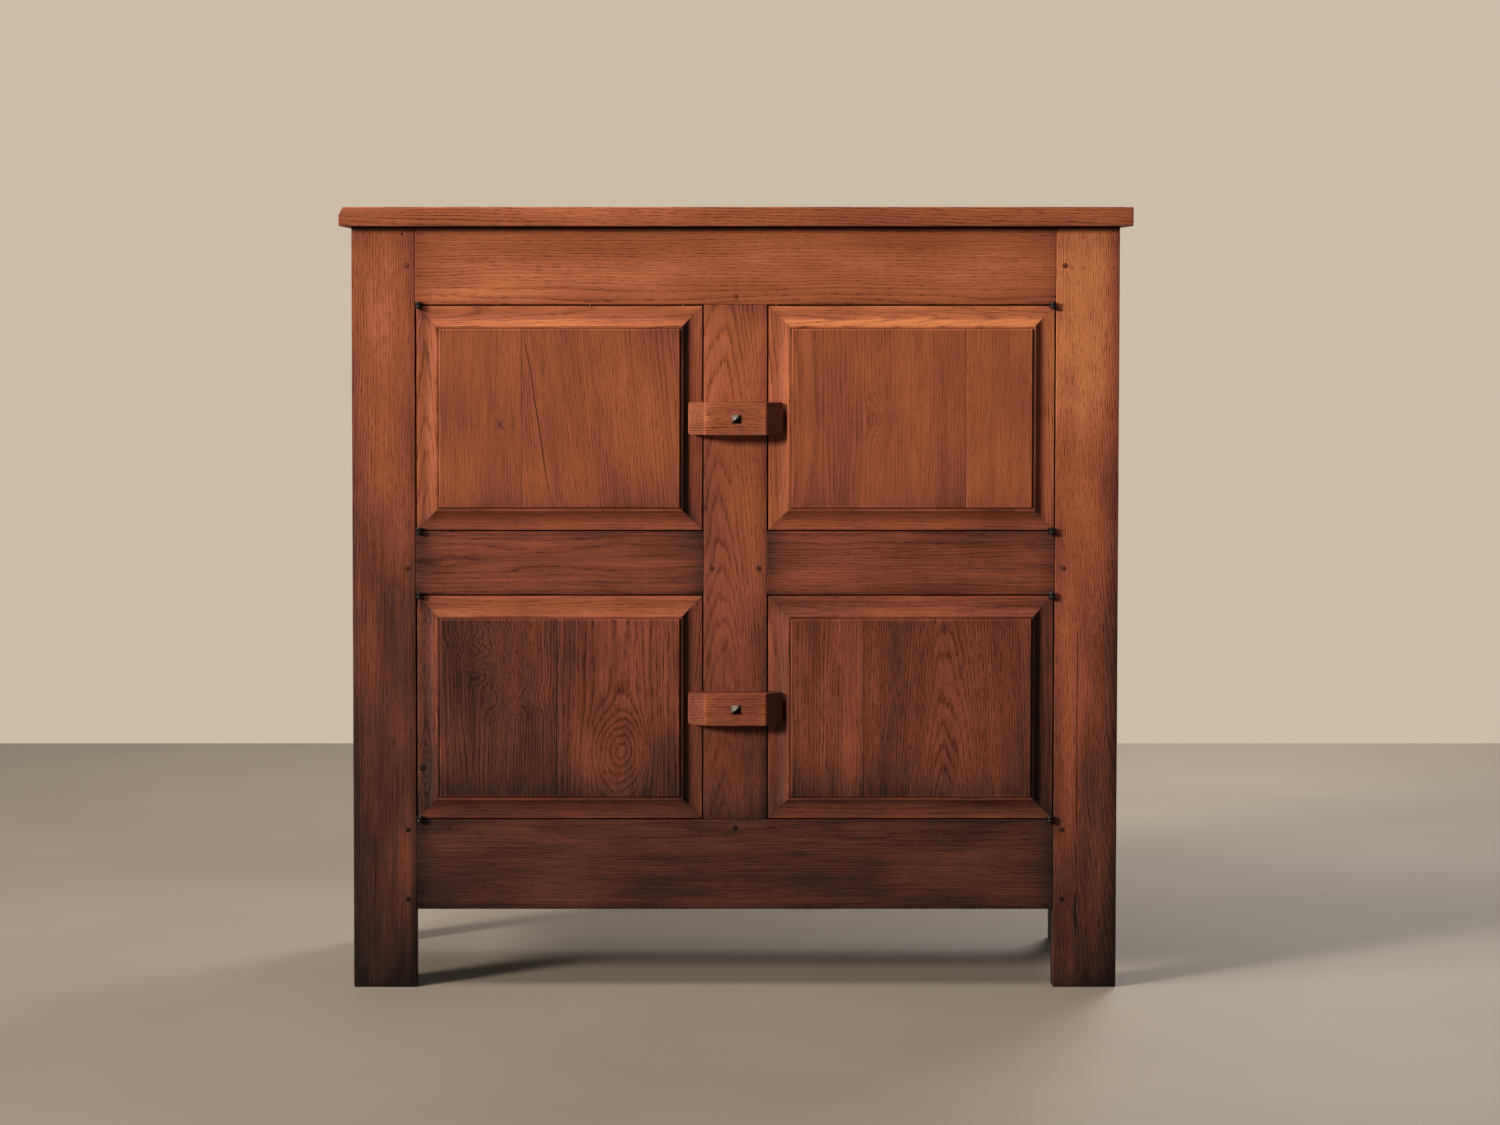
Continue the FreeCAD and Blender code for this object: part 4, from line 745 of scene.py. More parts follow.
class CABINET_OT_front_frame(bpy.types.Operator):
    """Top, middle and bottom rails and the centre stile of the front"""

    bl_idname = "cabinet.front_frame"
    bl_label = "Front frame"
    # Level, left end, right end and tone of each rail; the bottom rail's darker tone is partly painted shade
    rails = {
        "front_top_rail": ("top", -OPENING, OPENING, -0.15),
        "front_bottom_rail": ("bottom", -OPENING, OPENING, 0.35),
        "left_middle_rail": ("middle", -OPENING, -STILE, 0.17),
        "right_middle_rail": ("middle", STILE, OPENING, 0.12),
    }
    # The top rail is paler towards its left end
    top_spots = [(-0.35, 0.0, 0.2, 0.2, -0.13)]

    def execute(self, context):
        back = box("centre_stile")[1][1]
        for node, (rail, left, right, tone) in self.rails.items():
            low = np.array([left, FACE, RAILS[rail][0]])
            high = np.array([right, back, RAILS[rail][1]])
            spots = self.top_spots if rail == "top" else ()
            tree = Tree(SEEDS[node], lean=(0.0, 0.0), spots=spots, figure=0.7)
            parts = [box_board(low, high, X, -Y, tree, tone)]
            # The top rail carries a painted shadow of the top's overhang
            if rail == "top":
                parts.append(painted_shadow_under_top(left, right))
            build(node, "worn", parts)
        node = "centre_stile"
        low = np.array([-STILE, FACE, RAILS["bottom"][1]])
        high = np.array([STILE, back, RAILS["top"][0]])
        tree = Tree(SEEDS[node], (0.0287, -0.045), (0.0, -0.055), figure=0.7)
        build(node, "worn", [box_board(low, high, Z, -Y, tree, -0.25, 0.9)])
        return {"FINISHED"}


class CABINET_OT_sides(bpy.types.Operator):
    """Side rails and side panels, each panel glued from two boards"""

    bl_idname = "cabinet.sides"
    bl_label = "Sides"
    # Field over the tongue, field's edge from the tongue's edge, and the boards' seam from the middle
    field_rise = 4 * MM
    field_inset = 23 * MM
    seam = 30 * MM
    tones = (0.02, 0.12)

    def execute(self, context):
        for side, way in SIDES.items():
            for rail in ("top", "bottom"):
                node = f"{side}_side_{rail}_rail"
                low, high = box(node)
                low[1], high[1] = POST_BACK, BACK_POST_FACE
                tree = Tree(SEEDS[node], figure=0.8)
                build(node, "worn", [box_board(low, high, Y, way * X, tree, 0.04, 0.5)])
            node = f"{side}_side_panel"
            low, high = box(node)
            inner, outer = sorted((way * low[0], way * high[0]))
            levels = (outer - self.field_rise - inner, outer - inner, 0.0)
            origin = (way * inner, (low[1] + high[1]) / 2, (low[2] + high[2]) / 2)
            stand = Stand(origin, Z, np.cross(way * X, Z), way * X)
            halves = ((high[2] - low[2]) / 2, (high[1] - low[1]) / 2)
            seam = self.seam * way
            parts = []
            for index, reach in enumerate(((-halves[1], seam), (seam, halves[1]))):
                tree = Tree(SEEDS[node] + 2 * index)
                shape = (stand, halves, reach, levels, self.field_inset)
                parts.append(darken_towards_floor(panel_board(*shape, tree, self.tones[index], 0.012), 0.55))
            build(node, "worn", parts)
        return {"FINISHED"}


class CABINET_OT_back(bpy.types.Operator):
    """Back rails and the row of upright back boards, left bare"""

    bl_idname = "cabinet.back"
    bl_label = "Back"
    boards = 7

    def execute(self, context):
        for rail in ("top", "bottom"):
            node = f"back_{rail}_rail"
            low, high = box(node)
            low[0], high[0] = -BACK_POST_INNER, BACK_POST_INNER
            build(node, "worn", [box_board(low, high, X, Y, Tree(SEEDS[node]), 0.1)], "plain_wood")
        node = "back_boards"
        low, high = box(node)
        edges = np.linspace(low[0], high[0], self.boards + 1)
        rng = np.random.default_rng(SEEDS[node])
        parts = []
        for index, tone in enumerate(rng.uniform(-0.1, 0.3, self.boards)):
            left = np.array([edges[index], low[1], low[2]])
            right = np.array([edges[index + 1], high[1], high[2]])
            tree = Tree(SEEDS[node] + index)
            parts.append(box_board(left, right, Z, Y, tree, tone, step=0.02))
        build(node, "worn", parts, "plain_wood")
        return {"FINISHED"}


class CABINET_OT_top(bpy.types.Operator):
    """Three planks of the top, bevelled on their left end"""

    bl_idname = "cabinet.top"
    bl_label = "Top"
    tones = {"front": -0.1, "middle": 0.0, "rear": -0.04}
    # All three are paler towards the left end
    spots = [(-0.4, 0.0, 0.4, 0.5, -0.1)]

    def execute(self, context):
        sizes = context.scene.cabinet_sizes
        bevel = (sizes.end_bevel_width, sizes.end_bevel_height)
        for plank, tone in self.tones.items():
            node = f"top_{plank}_plank"
            tree = Tree(SEEDS[node], spots=self.spots, figure=0.8)
            wear = {"soil": (0.2, 0.1), "arris": 1.6 * MM, "bevel": bevel}
            build(node, "worn", [box_board(*box(node), X, Z, tree, tone, **wear)])
        return {"FINISHED"}


class CABINET_OT_inside(bpy.types.Operator):
    """Boards, bearers, stop strip and blocks inside: the CAD solids with eased edges and bare wood"""

    bl_idname = "cabinet.inside"
    bl_label = "Inside"

    def execute(self, context):
        lying = ("bottom_boards", "shelf_boards", "bottom_bearers", "shelf_bearers", "top_fixing_blocks")
        for node in (*lying, "door_stop_strip"):
            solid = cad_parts[node]
            solid.data.materials.clear()
            solid.data.materials.append(bare_chestnut("x" if node in lying else "z"))
            solid.modifiers.new("weld", "WELD")
            solid.modifiers.new("flat_faces", "DECIMATE").decimate_type = "DISSOLVE"
            eased = solid.modifiers.new("eased_edges", "BEVEL")
            eased.width = 0.8 * MM
            eased.segments = 2
        return {"FINISHED"}


class CABINET_OT_pegs(bpy.types.Operator):
    """Whittled pegs that draw the frames' joints together"""

    bl_idname = "cabinet.pegs"
    bl_label = "Pegs"
    # Height in shares of the peg's stand, share of its radius, and stain
    rim = ((0.0, 0.99, 0.9), (0.6, 0.93, 0.8), (1.0, 0.75, 0.25), (1.1, 0.3, 0.15))
    depth = 26 * MM
    back_depth = 18 * MM

    def peg(self, end, out, depth, seed):
        """A peg from its end back into the wood, its rim rounded by the knife."""
        sizes = bpy.context.scene.cabinet_sizes
        radius = sizes.peg / 2
        profile = [(-depth, 0.9 * radius, 0.9), (-0.6 * MM, radius, 0.9)]
        profile += [(rise * sizes.peg_stand, share * radius, stain) for rise, share, stain in self.rim]
        stand = Stand(end, out, Z, np.cross(out, Z))
        return darken_towards_floor(turned(stand, profile, Tree(seed), 16, 0.025), 0.85)

    def execute(self, context):
        sizes = context.scene.cabinet_sizes
        setback, inset = sizes.peg_setback, sizes.peg_inset
        middle = sum(RAILS["middle"]) / 2 - sizes.middle_peg_drop
        bottom, opening = RAILS["bottom"]
        heights = (sum(RAILS["top"]) / 2, middle, bottom + inset, opening - inset)
        places = [(way * (OPENING + setback), height) for way in SIDES.values() for height in heights]
        places += [(way * (STILE - setback), middle) for way in SIDES.values()]
        places += [(0, RAILS["top"][0] + setback), (0, opening - setback)]
        seed = SEEDS["frame_pegs"]
        pegs = [self.peg((x, FACE, z), -Y, self.depth, seed + index) for index, (x, z) in enumerate(places)]
        build("frame_pegs", "whittled", pegs)
        side_pegs, back_pegs = [], []
        inset += sizes.side_shoulder
        for way in SIDES.values():
            for rail in ("top", "bottom"):
                low, high = box(f"right_side_{rail}_rail")
                for y in (POST_BACK - setback, BACK_POST_FACE + setback):
                    for z in (low[2] + inset, high[2] - inset):
                        end = (way * HALF_BODY, y, z)
                        side_pegs.append(self.peg(end, way * X, self.depth, len(side_pegs)))
                low, high = box(f"back_{rail}_rail")
                sunk = BACK - 1.2 * sizes.peg_stand
                end = (way * (BACK_POST_INNER + setback), sunk, (low[2] + high[2]) / 2)
                back_pegs.append(self.peg(end, Y, self.back_depth, len(back_pegs)))
        build("side_frame_pegs", "whittled", side_pegs)
        build("back_frame_pegs", "whittled", back_pegs)
        return {"FINISHED"}


class CABINET_OT_doors(bpy.types.Operator):
    """Four doors: mitred frames with a cove and a ridge, around panels glued from two boards"""

    bl_idname = "cabinet.doors"
    bl_label = "Doors"
    # Seam of each panel from the door's middle, and the tones of its two boards; the lower panels' darker
    # tones are partly painted shade
    panels = {
        "upper_left": (-0.058, (0.09, 0.06)),
        "upper_right": (0.083, (0.06, -0.04)),
        "lower_left": (-0.004, (0.41, 0.29)),
        "lower_right": (-0.073, (0.28, 0.31)),
    }
    # Trees of the same boards
    panel_trees = {
        "upper_left": (
            {
                "pith": (0.03, -0.08),
                "figure": 0.55,
                **pin_knot(-0.009, -0.094, (0.014, 0.008, -0.012), (0.006, 0.004, 0.5)),
            },
            {"pith": (0.3, -0.2), "lean": (-0.09, 0.0), "figure": 0.65},
        ),
        "upper_right": (
            {
                "pith": (-0.2, -0.2),
                "lean": (0.0, 0.0),
                "figure": 0.5,
                **pin_knot(0.0, -0.052, (0.03, 0.014, -0.012), (0.012, 0.006, 0.2)),
            },
            {
                "pith": (-0.1, -0.05),
                "figure": 0.5,
                **pin_knot(0.058, 0.175, (0.014, 0.008, -0.01), (0.006, 0.004, 0.3)),
            },
        ),
        "lower_left": (
            {
                "pith": (-0.24, -0.2),
                "lean": (0.0, 0.0),
                "figure": 1.15,
                "swells": burr(4, (0.07, -0.1), (0.035, 0.03)),
                "spots": [
                    (0.06, -0.12, 0.12, 0.09, 0.16),
                    (0.0, -0.015, 0.3, 0.03, -0.13),
                    (-0.1, -0.13, 0.06, 0.08, 0.1),
                ],
            },
            {
                "pith": (0.094, -0.15),
                "lean": (0.0, 0.0),
                "figure": 1.1,
                "swells": [(-0.067, 0.094, 0.052, 0.036, -0.018)],
                "spots": [(-0.07, 0.16, 0.05, 0.025, 0.25), (0.0, 0.0, 0.3, 0.045, 0.18)],
            },
        ),
        "lower_right": (
            {"pith": (-0.3, -0.2), "figure": 0.95},
            {"pith": (0.063, -0.03), "lean": (0.0, -0.07), "figure": 1.05},
        ),
    }
    # Stiles and panels darken towards their feet, partly as painted shade
    stile_feet = [(-0.17, 0.0, 0.13, 1.0, 0.18)]
    panel_feet = {"upper": (-0.15, 0.0, 0.05, 5.0, 0.14), "lower": (-0.15, 0.0, 0.05, 5.0, 0.3)}
    # Tone of each door's hinge stile, latch stile, top rail and bottom rail; the bottom rails' and the lower
    # doors' darker tones are partly painted shade
    frame_tones = {
        "upper_left": (0.05, 0.04, -0.04, 0.2),
        "upper_right": (-0.33, -0.1, -0.2, 0.14),
        "lower_left": (0.53, 0.25, 0.16, 0.45),
        "lower_right": (0.5, 0.34, 0.33, 0.44),
    }
    # Painted light and shade on the same members' coves: paler on the ones that face up, a painted
    # highlight, and darker on the ones that turn away from the light, painted shade
    cove_painted_light_and_shade = {
        "upper_left": (0.08, -0.6, 0.22, 0.0),
        "upper_right": (-0.25, 0.0, 0.3, 0.0),
        "lower_left": (0.15, -0.3, 0.06, 0.0),
        "lower_right": (-0.4, 0.0, 0.03, 0.0),
    }
    # One stile is curly and has a black knot in its outer edge, at this x and z
    curly = "lower_left_door_hinge_stile"
    curls = [(-0.094, 0.008, 0.03, 0.012, -0.016), (0.08, 0.006, 0.05, 0.01, -0.014)]
    knot_at = (-0.4844, 0.3426)
    knot_radius = 5.6 * MM
    # Height, share of the radius, and stain of the knot
    knot_dome = ((-2 * MM, 1.0, 1.0), (-0.3 * MM, 1.0, 0.75), (0.15 * MM, 0.85, 1.0), (0.2 * MM, 0.3, 0.8))
    # One panel has a hairline, with its ends at these x and z
    split = "upper_left_door"
    hairline = ((-0.2795, 0.741), (-0.328, 1.012))

    def execute(self, context):
        for level, side, way in DOORS:
            key = f"{level}_{side}"
            door = f"{key}_door"
            # The hinge stile is the outer one
            left, right = ("hinge", "latch")[::-way]
            low = box(f"{door}_{left}_stile")[0]
            high = box(f"{door}_{right}_stile")[1]
            middle = (low + high) / 2
            wide, tall = high[0] - low[0], high[2] - low[2]
            outer_x, inner_x = (low[0], high[0])[::-way]
            members = (
                ("hinge_stile", Stand((outer_x, FACE, middle[2]), Z, -way * X, -Y), tall),
                ("latch_stile", Stand((inner_x, FACE, middle[2]), Z, way * X, -Y), tall),
                ("top_rail", Stand((middle[0], FACE, high[2]), X, -Z, -Y), wide),
                ("bottom_rail", Stand((middle[0], FACE, low[2]), X, Z, -Y), wide),
            )
            for (member, *run), tone, wear in zip(members, self.frame_tones[key], self.cove_painted_light_and_shade[key]):
                node = f"{door}_{member}"
                spots = self.stile_feet if member.endswith("stile") else ()
                tree = Tree(SEEDS[node], spots=spots, figure=0.65)
                parts = []
                if node == self.curly:
                    tree = tree._replace(swells=self.curls, figure=1.1)
                    parts.append(self.knot())
                build(node, "worn", [moulding(*run, tree, tone, wear), *parts], body=door)
            self.panel(door, key, middle)
        return {"FINISHED"}

    def knot(self):
        """A loose black knot: a low round dome in the margin."""
        profile = [(height, share * self.knot_radius, stain) for height, share, stain in self.knot_dome]
        x, z = self.knot_at
        return turned(Stand((x, FACE, z), -Y, X, np.cross(-Y, X)), profile, Tree(0), 14, 0.04)

    def panel(self, door, key, middle):
        """A door's panel: two boards with a field in front of the ridge, and in one door a hairline."""
        sizes = bpy.context.scene.cabinet_sizes
        node = f"{door}_panel"
        low, high = box(node)
        halves = ((high[2] - low[2]) / 2, (high[0] - low[0]) / 2)
        levels = (-sizes.lip - 0.1 * MM, FACE - low[1], FACE - high[1])
        stand = Stand((middle[0], FACE, middle[2]), Z, X, -Y)
        seam, tones = self.panels[key]
        feet = self.panel_feet[key.split("_")[0]]
        parts = []
        for index, reach in enumerate(((-halves[1], seam), (seam, halves[1]))):
            tree = Tree(SEEDS[node] + 2 * index, **self.panel_trees[key][index])
            tree = tree._replace(spots=[*tree.spots, feet])
            parts.append(panel_board(stand, halves, reach, levels, sizes.field_inset, tree, tones[index]))
        if door == self.split:
            foot, head = (np.array([x, low[1], z]) for x, z in self.hairline)
            long = float(np.linalg.norm(head - foot))
            way = (head - foot) / long
            line = Stand((foot + head) / 2, way, np.cross(-Y, way), -Y)
            parts.append(crack(line, long, 1.4 * MM, 0.5 * MM, 6 * MM, 0.62))
        build(node, "worn", parts, body=door)


class CABINET_OT_hinges(bpy.types.Operator):
    """Forged pivot hinges: leaves let into the edges, knuckles in front, domed pins"""

    bl_idname = "cabinet.hinges"
    bl_label = "Hinges"
    # Height in shares of the knuckle's, share of its radius, and stain of either half of a knuckle
    barrel = ((0.0, 0.55, -0.3), (0.0, 0.86, -0.2), (0.12, 0.97, 0.0), (0.35, 1.0, -0.1))
    # Height over the knuckle, share of the radius, and stain of a pin's end
    dome = ((0.0, 1.0, 0.0), (0.4 * MM, 0.85, 0.2), (0.7 * MM, 0.4, 0.3))
    # The pin from the door's edge, half the gap between its two knuckles, the leaf from the pin and from
    # the face, and the neck's overlap on the leaf
    pin_inset = 3.5 * MM
    half_gap = 0.15 * MM
    start = 0.5 * MM
    setback = 4 * MM
    overlap = 2 * MM

    def leaf(self, pin, inward, edges, knuckle, seed):
        """A leaf's plate, its neck that runs forward, and its barrel-shaped knuckle."""
        sizes = bpy.context.scene.cabinet_sizes
        radius, tall = sizes.knuckle / 2, sizes.knuckle_height
        low, high = sorted(edges)
        near, far = sorted((pin + inward * self.start, pin + inward * (self.start + sizes.leaf_length)))
        neck_near, neck_far = sorted((pin + inward * self.start, pin + inward * radius))
        front, axis = FACE + self.setback, FACE - sizes.pin_forward
        plate = np.array([(near, front, low), (far, front + sizes.leaf_width, high)])
        neck = np.array([(neck_near, axis, low), (neck_far, front + self.overlap, high)])
        parts = []
        for (first, last), along in ((plate, X), (neck, Y)):
            across = np.cross(Z, along)
            extent = [abs(float((last - first) @ way)) + sizes.joint_play for way in (along, across, Z)]
            stand = Stand((first + last) / 2, along, across, Z)
            parts.append(board(stand, extent, Tree(seed), 0.0, (0, 0), 0.3 * MM))
        profile = [(rise * tall, share * radius, stain) for rise, share, stain in self.barrel]
        profile += [(tall - height, width, stain) for height, width, stain in profile[::-1]]
        stand = Stand((pin, axis, min(knuckle)), Z, X, Y)
        return [*parts, turned(stand, profile, Tree(seed), 24, 0.012)]

    def execute(self, context):
        sizes = context.scene.cabinet_sizes
        frame_parts, pins = [], []
        reach, radius = sizes.knuckle_height + self.half_gap, sizes.pin / 2
        upper = [(reach + rise, share * radius, stain) for rise, share, stain in self.dome]
        profile = [(-height, width, stain) for height, width, stain in upper[::-1]] + upper
        for level, side, way in DOORS:
            door = f"{level}_{side}_door"
            pin_x = way * (OPENING - sizes.door_gap - self.pin_inset)
            door_parts = []
            for into, edge in zip((-1, 1), OPENINGS[level]):
                middle = edge - into * sizes.door_gap / 2
                door_edge = edge - into * sizes.door_gap
                seed = SEEDS["frame_hinge_leaves"] + len(pins)
                knuckle = (middle + into * self.half_gap, middle + into * reach)
                frame_parts += self.leaf(pin_x, -way, (edge, edge + into * sizes.leaf), knuckle, seed)
                knuckle = (middle - into * self.half_gap, middle - into * reach)
                leaf = (door_edge, door_edge - into * sizes.leaf)
                door_parts += self.leaf(pin_x, -way, leaf, knuckle, seed + 50)
                stand = Stand((pin_x, FACE - sizes.pin_forward, middle), Z, X, Y)
                pins.append(turned(stand, profile, Tree(seed), 16))
            build(f"{door}_hinge_leaves", "forged", door_parts, "forged_iron", door)
        build("frame_hinge_leaves", "forged", frame_parts, "forged_iron")
        build("hinge_pins", "forged", pins, "forged_iron")
        return {"FINISHED"}


class CABINET_OT_latches(bpy.types.Operator):
    """Two wooden turn latches with bevelled ends, each on a forged screw with a pyramid head"""

    bl_idname = "cabinet.latches"
    bl_label = "Latches"
    # The lower latch's darker tone is partly painted shade
    tones = {"upper": -0.05, "lower": 0.08}
    round_off = 1.0 * MM
    arris = 0.8 * MM
    shank = 4.5 * MM

    def bar(self, node, middle, tone):
        """Outline of the bar seen from above, carried up its height, its ends drawn in by a quarter round.

        Towards the tips the height follows a circle, which rounds them seen from the front.
        """
        sizes = bpy.context.scene.cabinet_sizes
        low, high = box(node)
        gap, far = FACE - high[1], FACE - low[1]
        tip, half_height = high[0], (high[2] - low[2]) / 2
        half_back, half_face = sizes.latch_back / 2, sizes.latch_face / 2
        relief = sizes.latch_relief
        bevel = relief + sizes.latch_tip
        right = np.array([(half_back, gap), (tip, relief), (tip, bevel), (half_face, far)])
        corners = np.concatenate([right, right[::-1] * (-1, 1)])
        # Each corner is a parabola between points just before and after it; each side has points along it
        before, after = np.roll(corners, 1, axis=0) - corners, np.roll(corners, -1, axis=0) - corners
        start = corners + self.round_off * before / np.linalg.norm(before, axis=1, keepdims=True)
        end = corners + self.round_off * after / np.linalg.norm(after, axis=1, keepdims=True)
        run = np.linspace(0, 1, 5)[None, :, None]
        bend = (1 - run) ** 2 * start[:, None] + 2 * run * (1 - run) * corners[:, None]
        bend = bend + run**2 * end[:, None]
        run = np.linspace(0, 1, 8)[None, 1:-1, None]
        side = (1 - run) * end[:, None] + run * np.roll(start, -1, axis=0)[:, None]
        outline = np.concatenate([bend, side], axis=1).reshape(-1, 2)
        tangent = np.roll(outline, -1, axis=0) - np.roll(outline, 1, axis=0)
        normal = np.stack([tangent[:, 1], -tangent[:, 0]], axis=1)
        normal /= np.linalg.norm(normal, axis=1, keepdims=True)
        ends, drawn = quarter_round(self.arris, 5)
        between = np.linspace(-0.9, 0.9, 7) * half_height
        rows = np.concatenate([ends - half_height, between, half_height - ends[::-1]])
        inset = np.concatenate([drawn, np.zeros(7), drawn[::-1]])
        ring = outline[None] - inset[:, None, None] * normal[None]
        rounding = sizes.latch_tip_radius
        over = np.clip(np.abs(ring[..., 0]) - (tip - rounding), 0, rounding)
        tall = half_height - rounding + np.sqrt(rounding**2 - over**2)
        height = rows[:, None] * tall / half_height
        local = np.stack([height, ring[..., 0], ring[..., 1]], axis=-1)
        edge = np.abs(rows[:, None]) > half_height - self.arris
        corner = np.repeat([[True] * 5 + [False] * 6], len(corners), axis=0).ravel()[None]
        rng = np.random.default_rng(SEEDS[node])
        wear = ripple(rng, ring[..., 0], height, (0.06, 0.025, 0.011))
        end_grain = np.abs(ring[..., 0]) > half_face + self.round_off
        stain = tone + 0.2 * end_grain - 0.3 * (edge | corner) * wear + 0.25 * (ring[..., 1] < relief)
        stand = Stand((0, FACE, middle), Z, X, -Y)
        tree = Tree(SEEDS[node], (0.3, -0.02), (0.0, 0.0))
        return place(stand, local, loft(len(rows), len(outline)), tree, stain, (1, 0, 2))

    def screw(self, middle, under_head, top):
        """Forged head: on a round shank a square rim, then four facets to a blunt point, up its axis."""
        half = bpy.context.scene.cabinet_sizes.screw_head / 2
        rise = np.array([-4.0, -0.02, 0.0, 0.06, 0.18, 0.24, 0.94, 1.0])[:, None]
        head = half * np.array([0.93, 1.0, 1.0, 0.96, 0.16, 0.07])
        widths = np.concatenate([[self.shank, self.shank], head])[:, None]
        angles = np.arange(8) * np.pi / 4
        square = 1 / np.maximum(np.abs(np.cos(angles)), np.abs(np.sin(angles)))
        outline = widths * np.where(rise < -0.01, 1.0, square)
        heights = under_head + (top - under_head) * rise
        around = np.broadcast_arrays(heights, outline * np.cos(angles), outline * np.sin(angles))
        # Facets to the left and above are paler, a painted highlight where the light falls; the rim is
        # darker and the point paler
        toward_light = (np.sin(angles) - np.cos(angles)) / np.sqrt(2)
        rubbed = np.array([0, 0, -0.3, -0.3, -0.2, 0.0, 0.1, 0.2])[:, None] + 0.35 * toward_light
        stand = Stand((0, FACE, middle), -Y, X, np.cross(-Y, X))
        return place(stand, np.stack(around, axis=-1), loft(*outline.shape), Tree(0), rubbed)

    def execute(self, context):
        top = FACE - box("latch_screws")[0][1]
        screws = []
        for level in LEVELS:
            node = f"{level}_turn_latch"
            middle = sum(OPENINGS[level]) / 2
            build(node, "worn", [self.bar(node, middle, self.tones[level])], body=node)
            under_head = 2 * FACE - box(node)[0][1] - box(node)[1][1]
            screws.append(self.screw(middle, under_head, top))
        build("latch_screws", "forged", screws, "forged_iron")
        return {"FINISHED"}


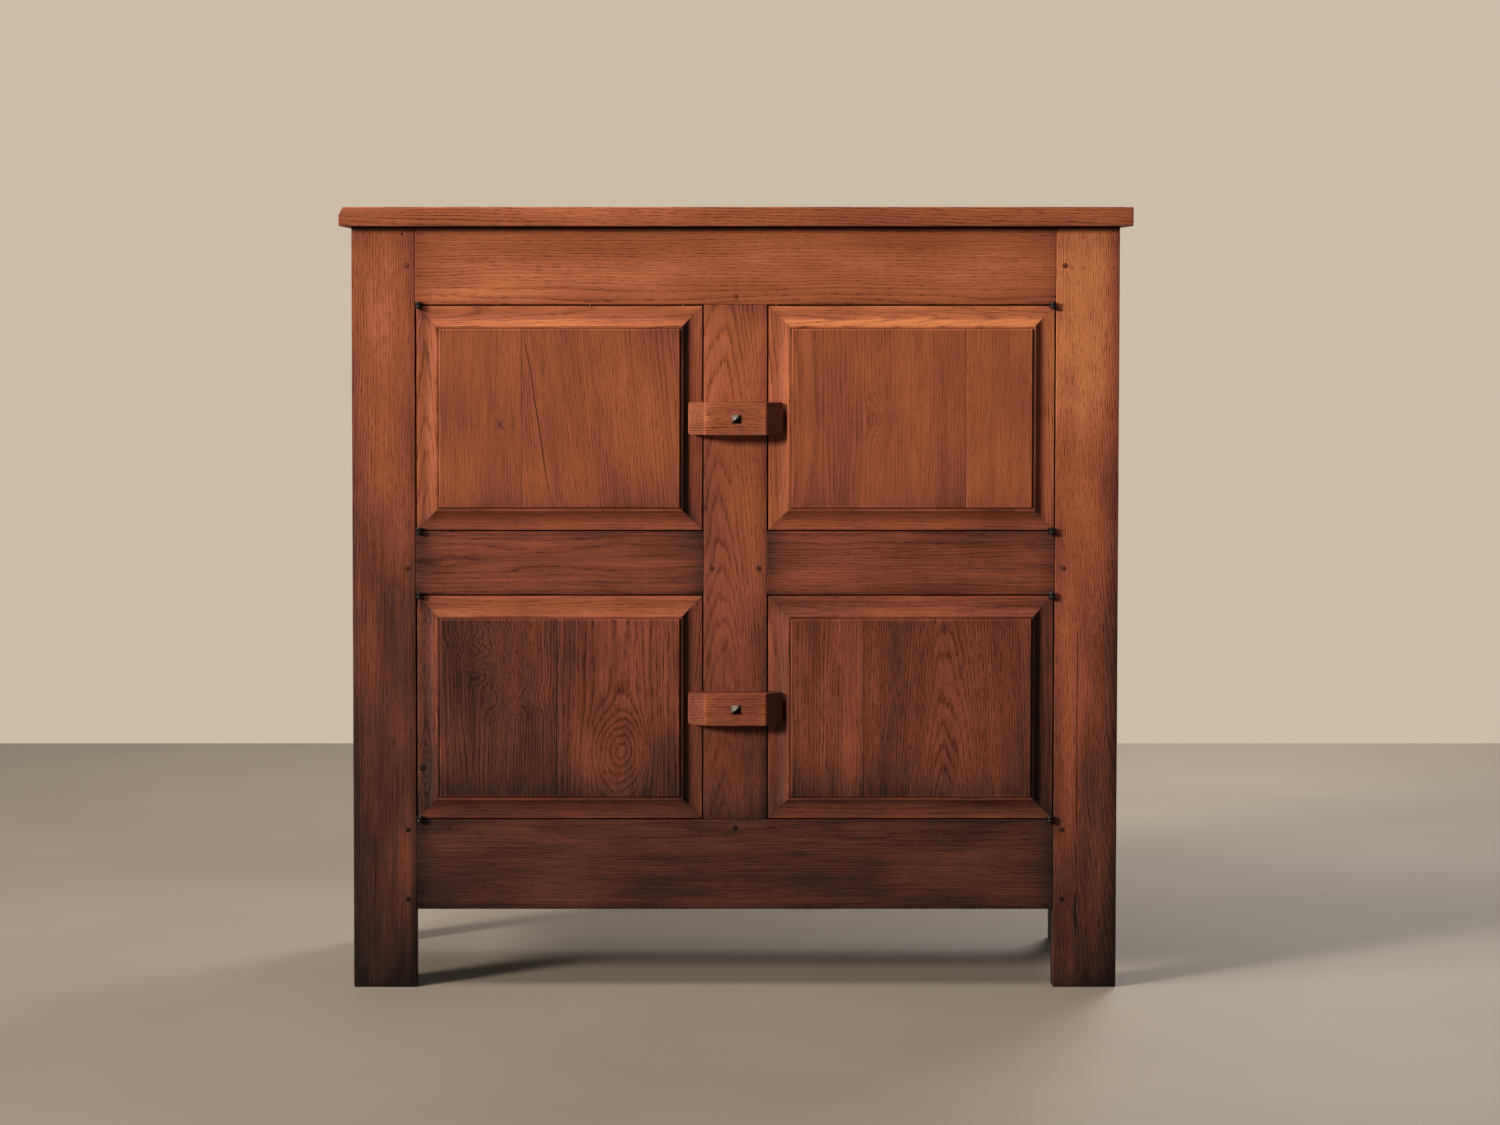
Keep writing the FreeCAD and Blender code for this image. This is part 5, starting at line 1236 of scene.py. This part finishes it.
class CABINET_OT_stage(bpy.types.Operator):
    """Pale floor, pale background, soft light from the upper left and the camera"""

    bl_idname = "cabinet.stage"
    bl_label = "Stage"
    # The camera stands a little left of the middle, nearly level with the top, and looks slightly down; in a
    # picture 1500 pixels wide, the view's middle lies right of the lens axis and below it
    camera_place = (-0.13, -5.8, 1.08)
    camera_pitch = math.radians(2.8)
    sensor_millimetres = 36
    focal_pixels = 3631
    image_width = 1500
    right_of_axis = 98.8
    below_axis = 93.3
    # The floor's half width, and its far edge
    floor_side = 14.0
    floor_far = 2.85
    # Light from all around, which fills the shadows
    sky = (0.46, 0.68, 1.0, 1)
    sky_strength = 0.12
    # Place, aim, width, power in watts and tint of each lamp
    lamps = {
        "key_lamp": ((-10.2, -8.0, 4.7), (0, -0.2, 0.7), 2.9, 2170, (1.0, 0.93, 0.835)),
        "ceiling_lamp": ((-1.4, -1.0, 3.4), (0.1, -0.3, 0.8), 1.4, 66, (1.0, 0.95, 0.88)),
        "back_lamp": ((1.8, 3.2, 2.6), (0, 0.2, 0.6), 1.8, 90, (1.0, 0.97, 0.93)),
    }

    def floor(self, colours):
        """Flat floor of thinly trowelled plaster with slow clouds, up to where the background begins."""
        side, far = self.floor_side, self.floor_far
        corners = np.array([[-side, -side, 0], [side, -side, 0], [side, far, 0], [-side, far, 0]])
        mesh = bpy.data.meshes.new("floor")
        mesh.from_pydata(corners, [], [(0, 1, 2, 3)])
        material, tree = empty_material("plaster_trowelled_pale")
        spot = add_node(tree, "TexCoord").outputs["Object"]
        clouds = add_node(tree, "TexNoise", {"Vector": spot, "Scale": 1.4, "Detail": 6.0})
        # Pale to the eye and in reflections; light that bounces off it finds it darker
        base = {0: seen_directly(tree), 6: (*colours.floor_bounce, 1), 7: (*colours.floor, 1)}
        base = add_node(tree, "Mix", base, data_type="RGBA").outputs[2]
        tint = {"Value": clouds, "From Min": 0.3, "From Max": 0.7, "To Min": 0.9, "To Max": 1.06}
        tint = add_node(tree, "MapRange", tint)
        base = add_node(tree, "VectorMath", {0: base, 1: tint}, operation="MULTIPLY")
        surface(tree, Base_Color=base, Roughness=0.7)
        mesh.materials.append(material)
        floor = bpy.data.objects.new("floor", mesh)
        bpy.context.scene.collection.objects.link(floor)

    def background(self, colours):
        """Pale background for the camera, reflections and clear things; a dim sky for everything else."""
        world = bpy.data.worlds.new("studio")
        bpy.context.scene.world = world
        world.use_nodes = True
        tree = world.node_tree
        tree.nodes.clear()
        seen = seen_directly(tree)
        pale = add_node(tree, "Background", {"Color": (*colours.wall, 1), "Strength": 1.0})
        dim = add_node(tree, "Background", {"Color": self.sky, "Strength": self.sky_strength})
        shown = add_node(tree, "MixShader", {0: seen, 1: dim, 2: pale})
        add_node(tree, "OutputWorld", {"Surface": shown})

    def light(self, name, spot, aim, size, power, tint):
        """A round lamp that faces its aim."""
        data = bpy.data.lights.new(name, "AREA")
        data.shape = "DISK"
        data.size = size
        data.energy = power
        data.color = tint
        lamp = bpy.data.objects.new(name, data)
        lamp.location = spot
        way = np.array(aim) - np.array(spot)
        lamp.rotation_euler = (math.acos(-way[2] / np.linalg.norm(way)), 0, math.atan2(-way[0], way[1]))
        bpy.context.scene.collection.objects.link(lamp)

    def execute(self, context):
        colours = context.scene.cabinet_colours
        self.floor(colours)
        self.background(colours)
        for name, setting in self.lamps.items():
            self.light(name, *setting)
        data = bpy.data.cameras.new("camera")
        data.sensor_width = self.sensor_millimetres
        data.sensor_fit = "HORIZONTAL"
        data.lens = self.sensor_millimetres * self.focal_pixels / self.image_width
        data.shift_x = self.right_of_axis / self.image_width
        data.shift_y = -self.below_axis / self.image_width
        camera = bpy.data.objects.new("camera", data)
        camera.location = self.camera_place
        camera.rotation_euler = (math.pi / 2 - self.camera_pitch, 0, 0)
        context.scene.collection.objects.link(camera)
        context.scene.camera = camera
        context.scene.view_settings.view_transform = "Standard"
        return {"FINISHED"}


OPERATORS = (
    CABINET_OT_posts,
    CABINET_OT_front_frame,
    CABINET_OT_sides,
    CABINET_OT_back,
    CABINET_OT_top,
    CABINET_OT_inside,
    CABINET_OT_pegs,
    CABINET_OT_doors,
    CABINET_OT_hinges,
    CABINET_OT_latches,
    CABINET_OT_stage,
)


class CABINET_PT_pieces(bpy.types.Panel):
    """The cabinet's pieces, one button for each group"""

    bl_idname = "CABINET_PT_pieces"
    bl_label = "Buffet cabinet"
    bl_space_type = "VIEW_3D"
    bl_region_type = "UI"
    bl_category = "Cabinet"

    def draw(self, context):
        for operator in OPERATORS:
            self.layout.operator(operator.bl_idname)


CLASSES = (CabinetSizes, CabinetColours, *OPERATORS, CABINET_PT_pieces)


def register():
    for cls in CLASSES:
        bpy.utils.register_class(cls)
    bpy.types.Scene.cabinet_sizes = PointerProperty(type=CabinetSizes)
    bpy.types.Scene.cabinet_colours = PointerProperty(type=CabinetColours)


def unregister():
    del bpy.types.Scene.cabinet_colours
    del bpy.types.Scene.cabinet_sizes
    for cls in reversed(CLASSES):
        bpy.utils.unregister_class(cls)


def main():
    register()
    for operator in OPERATORS:
        group, name = operator.bl_idname.split(".")
        getattr(getattr(bpy.ops, group), name)()


if __name__ == "__main__":
    main()
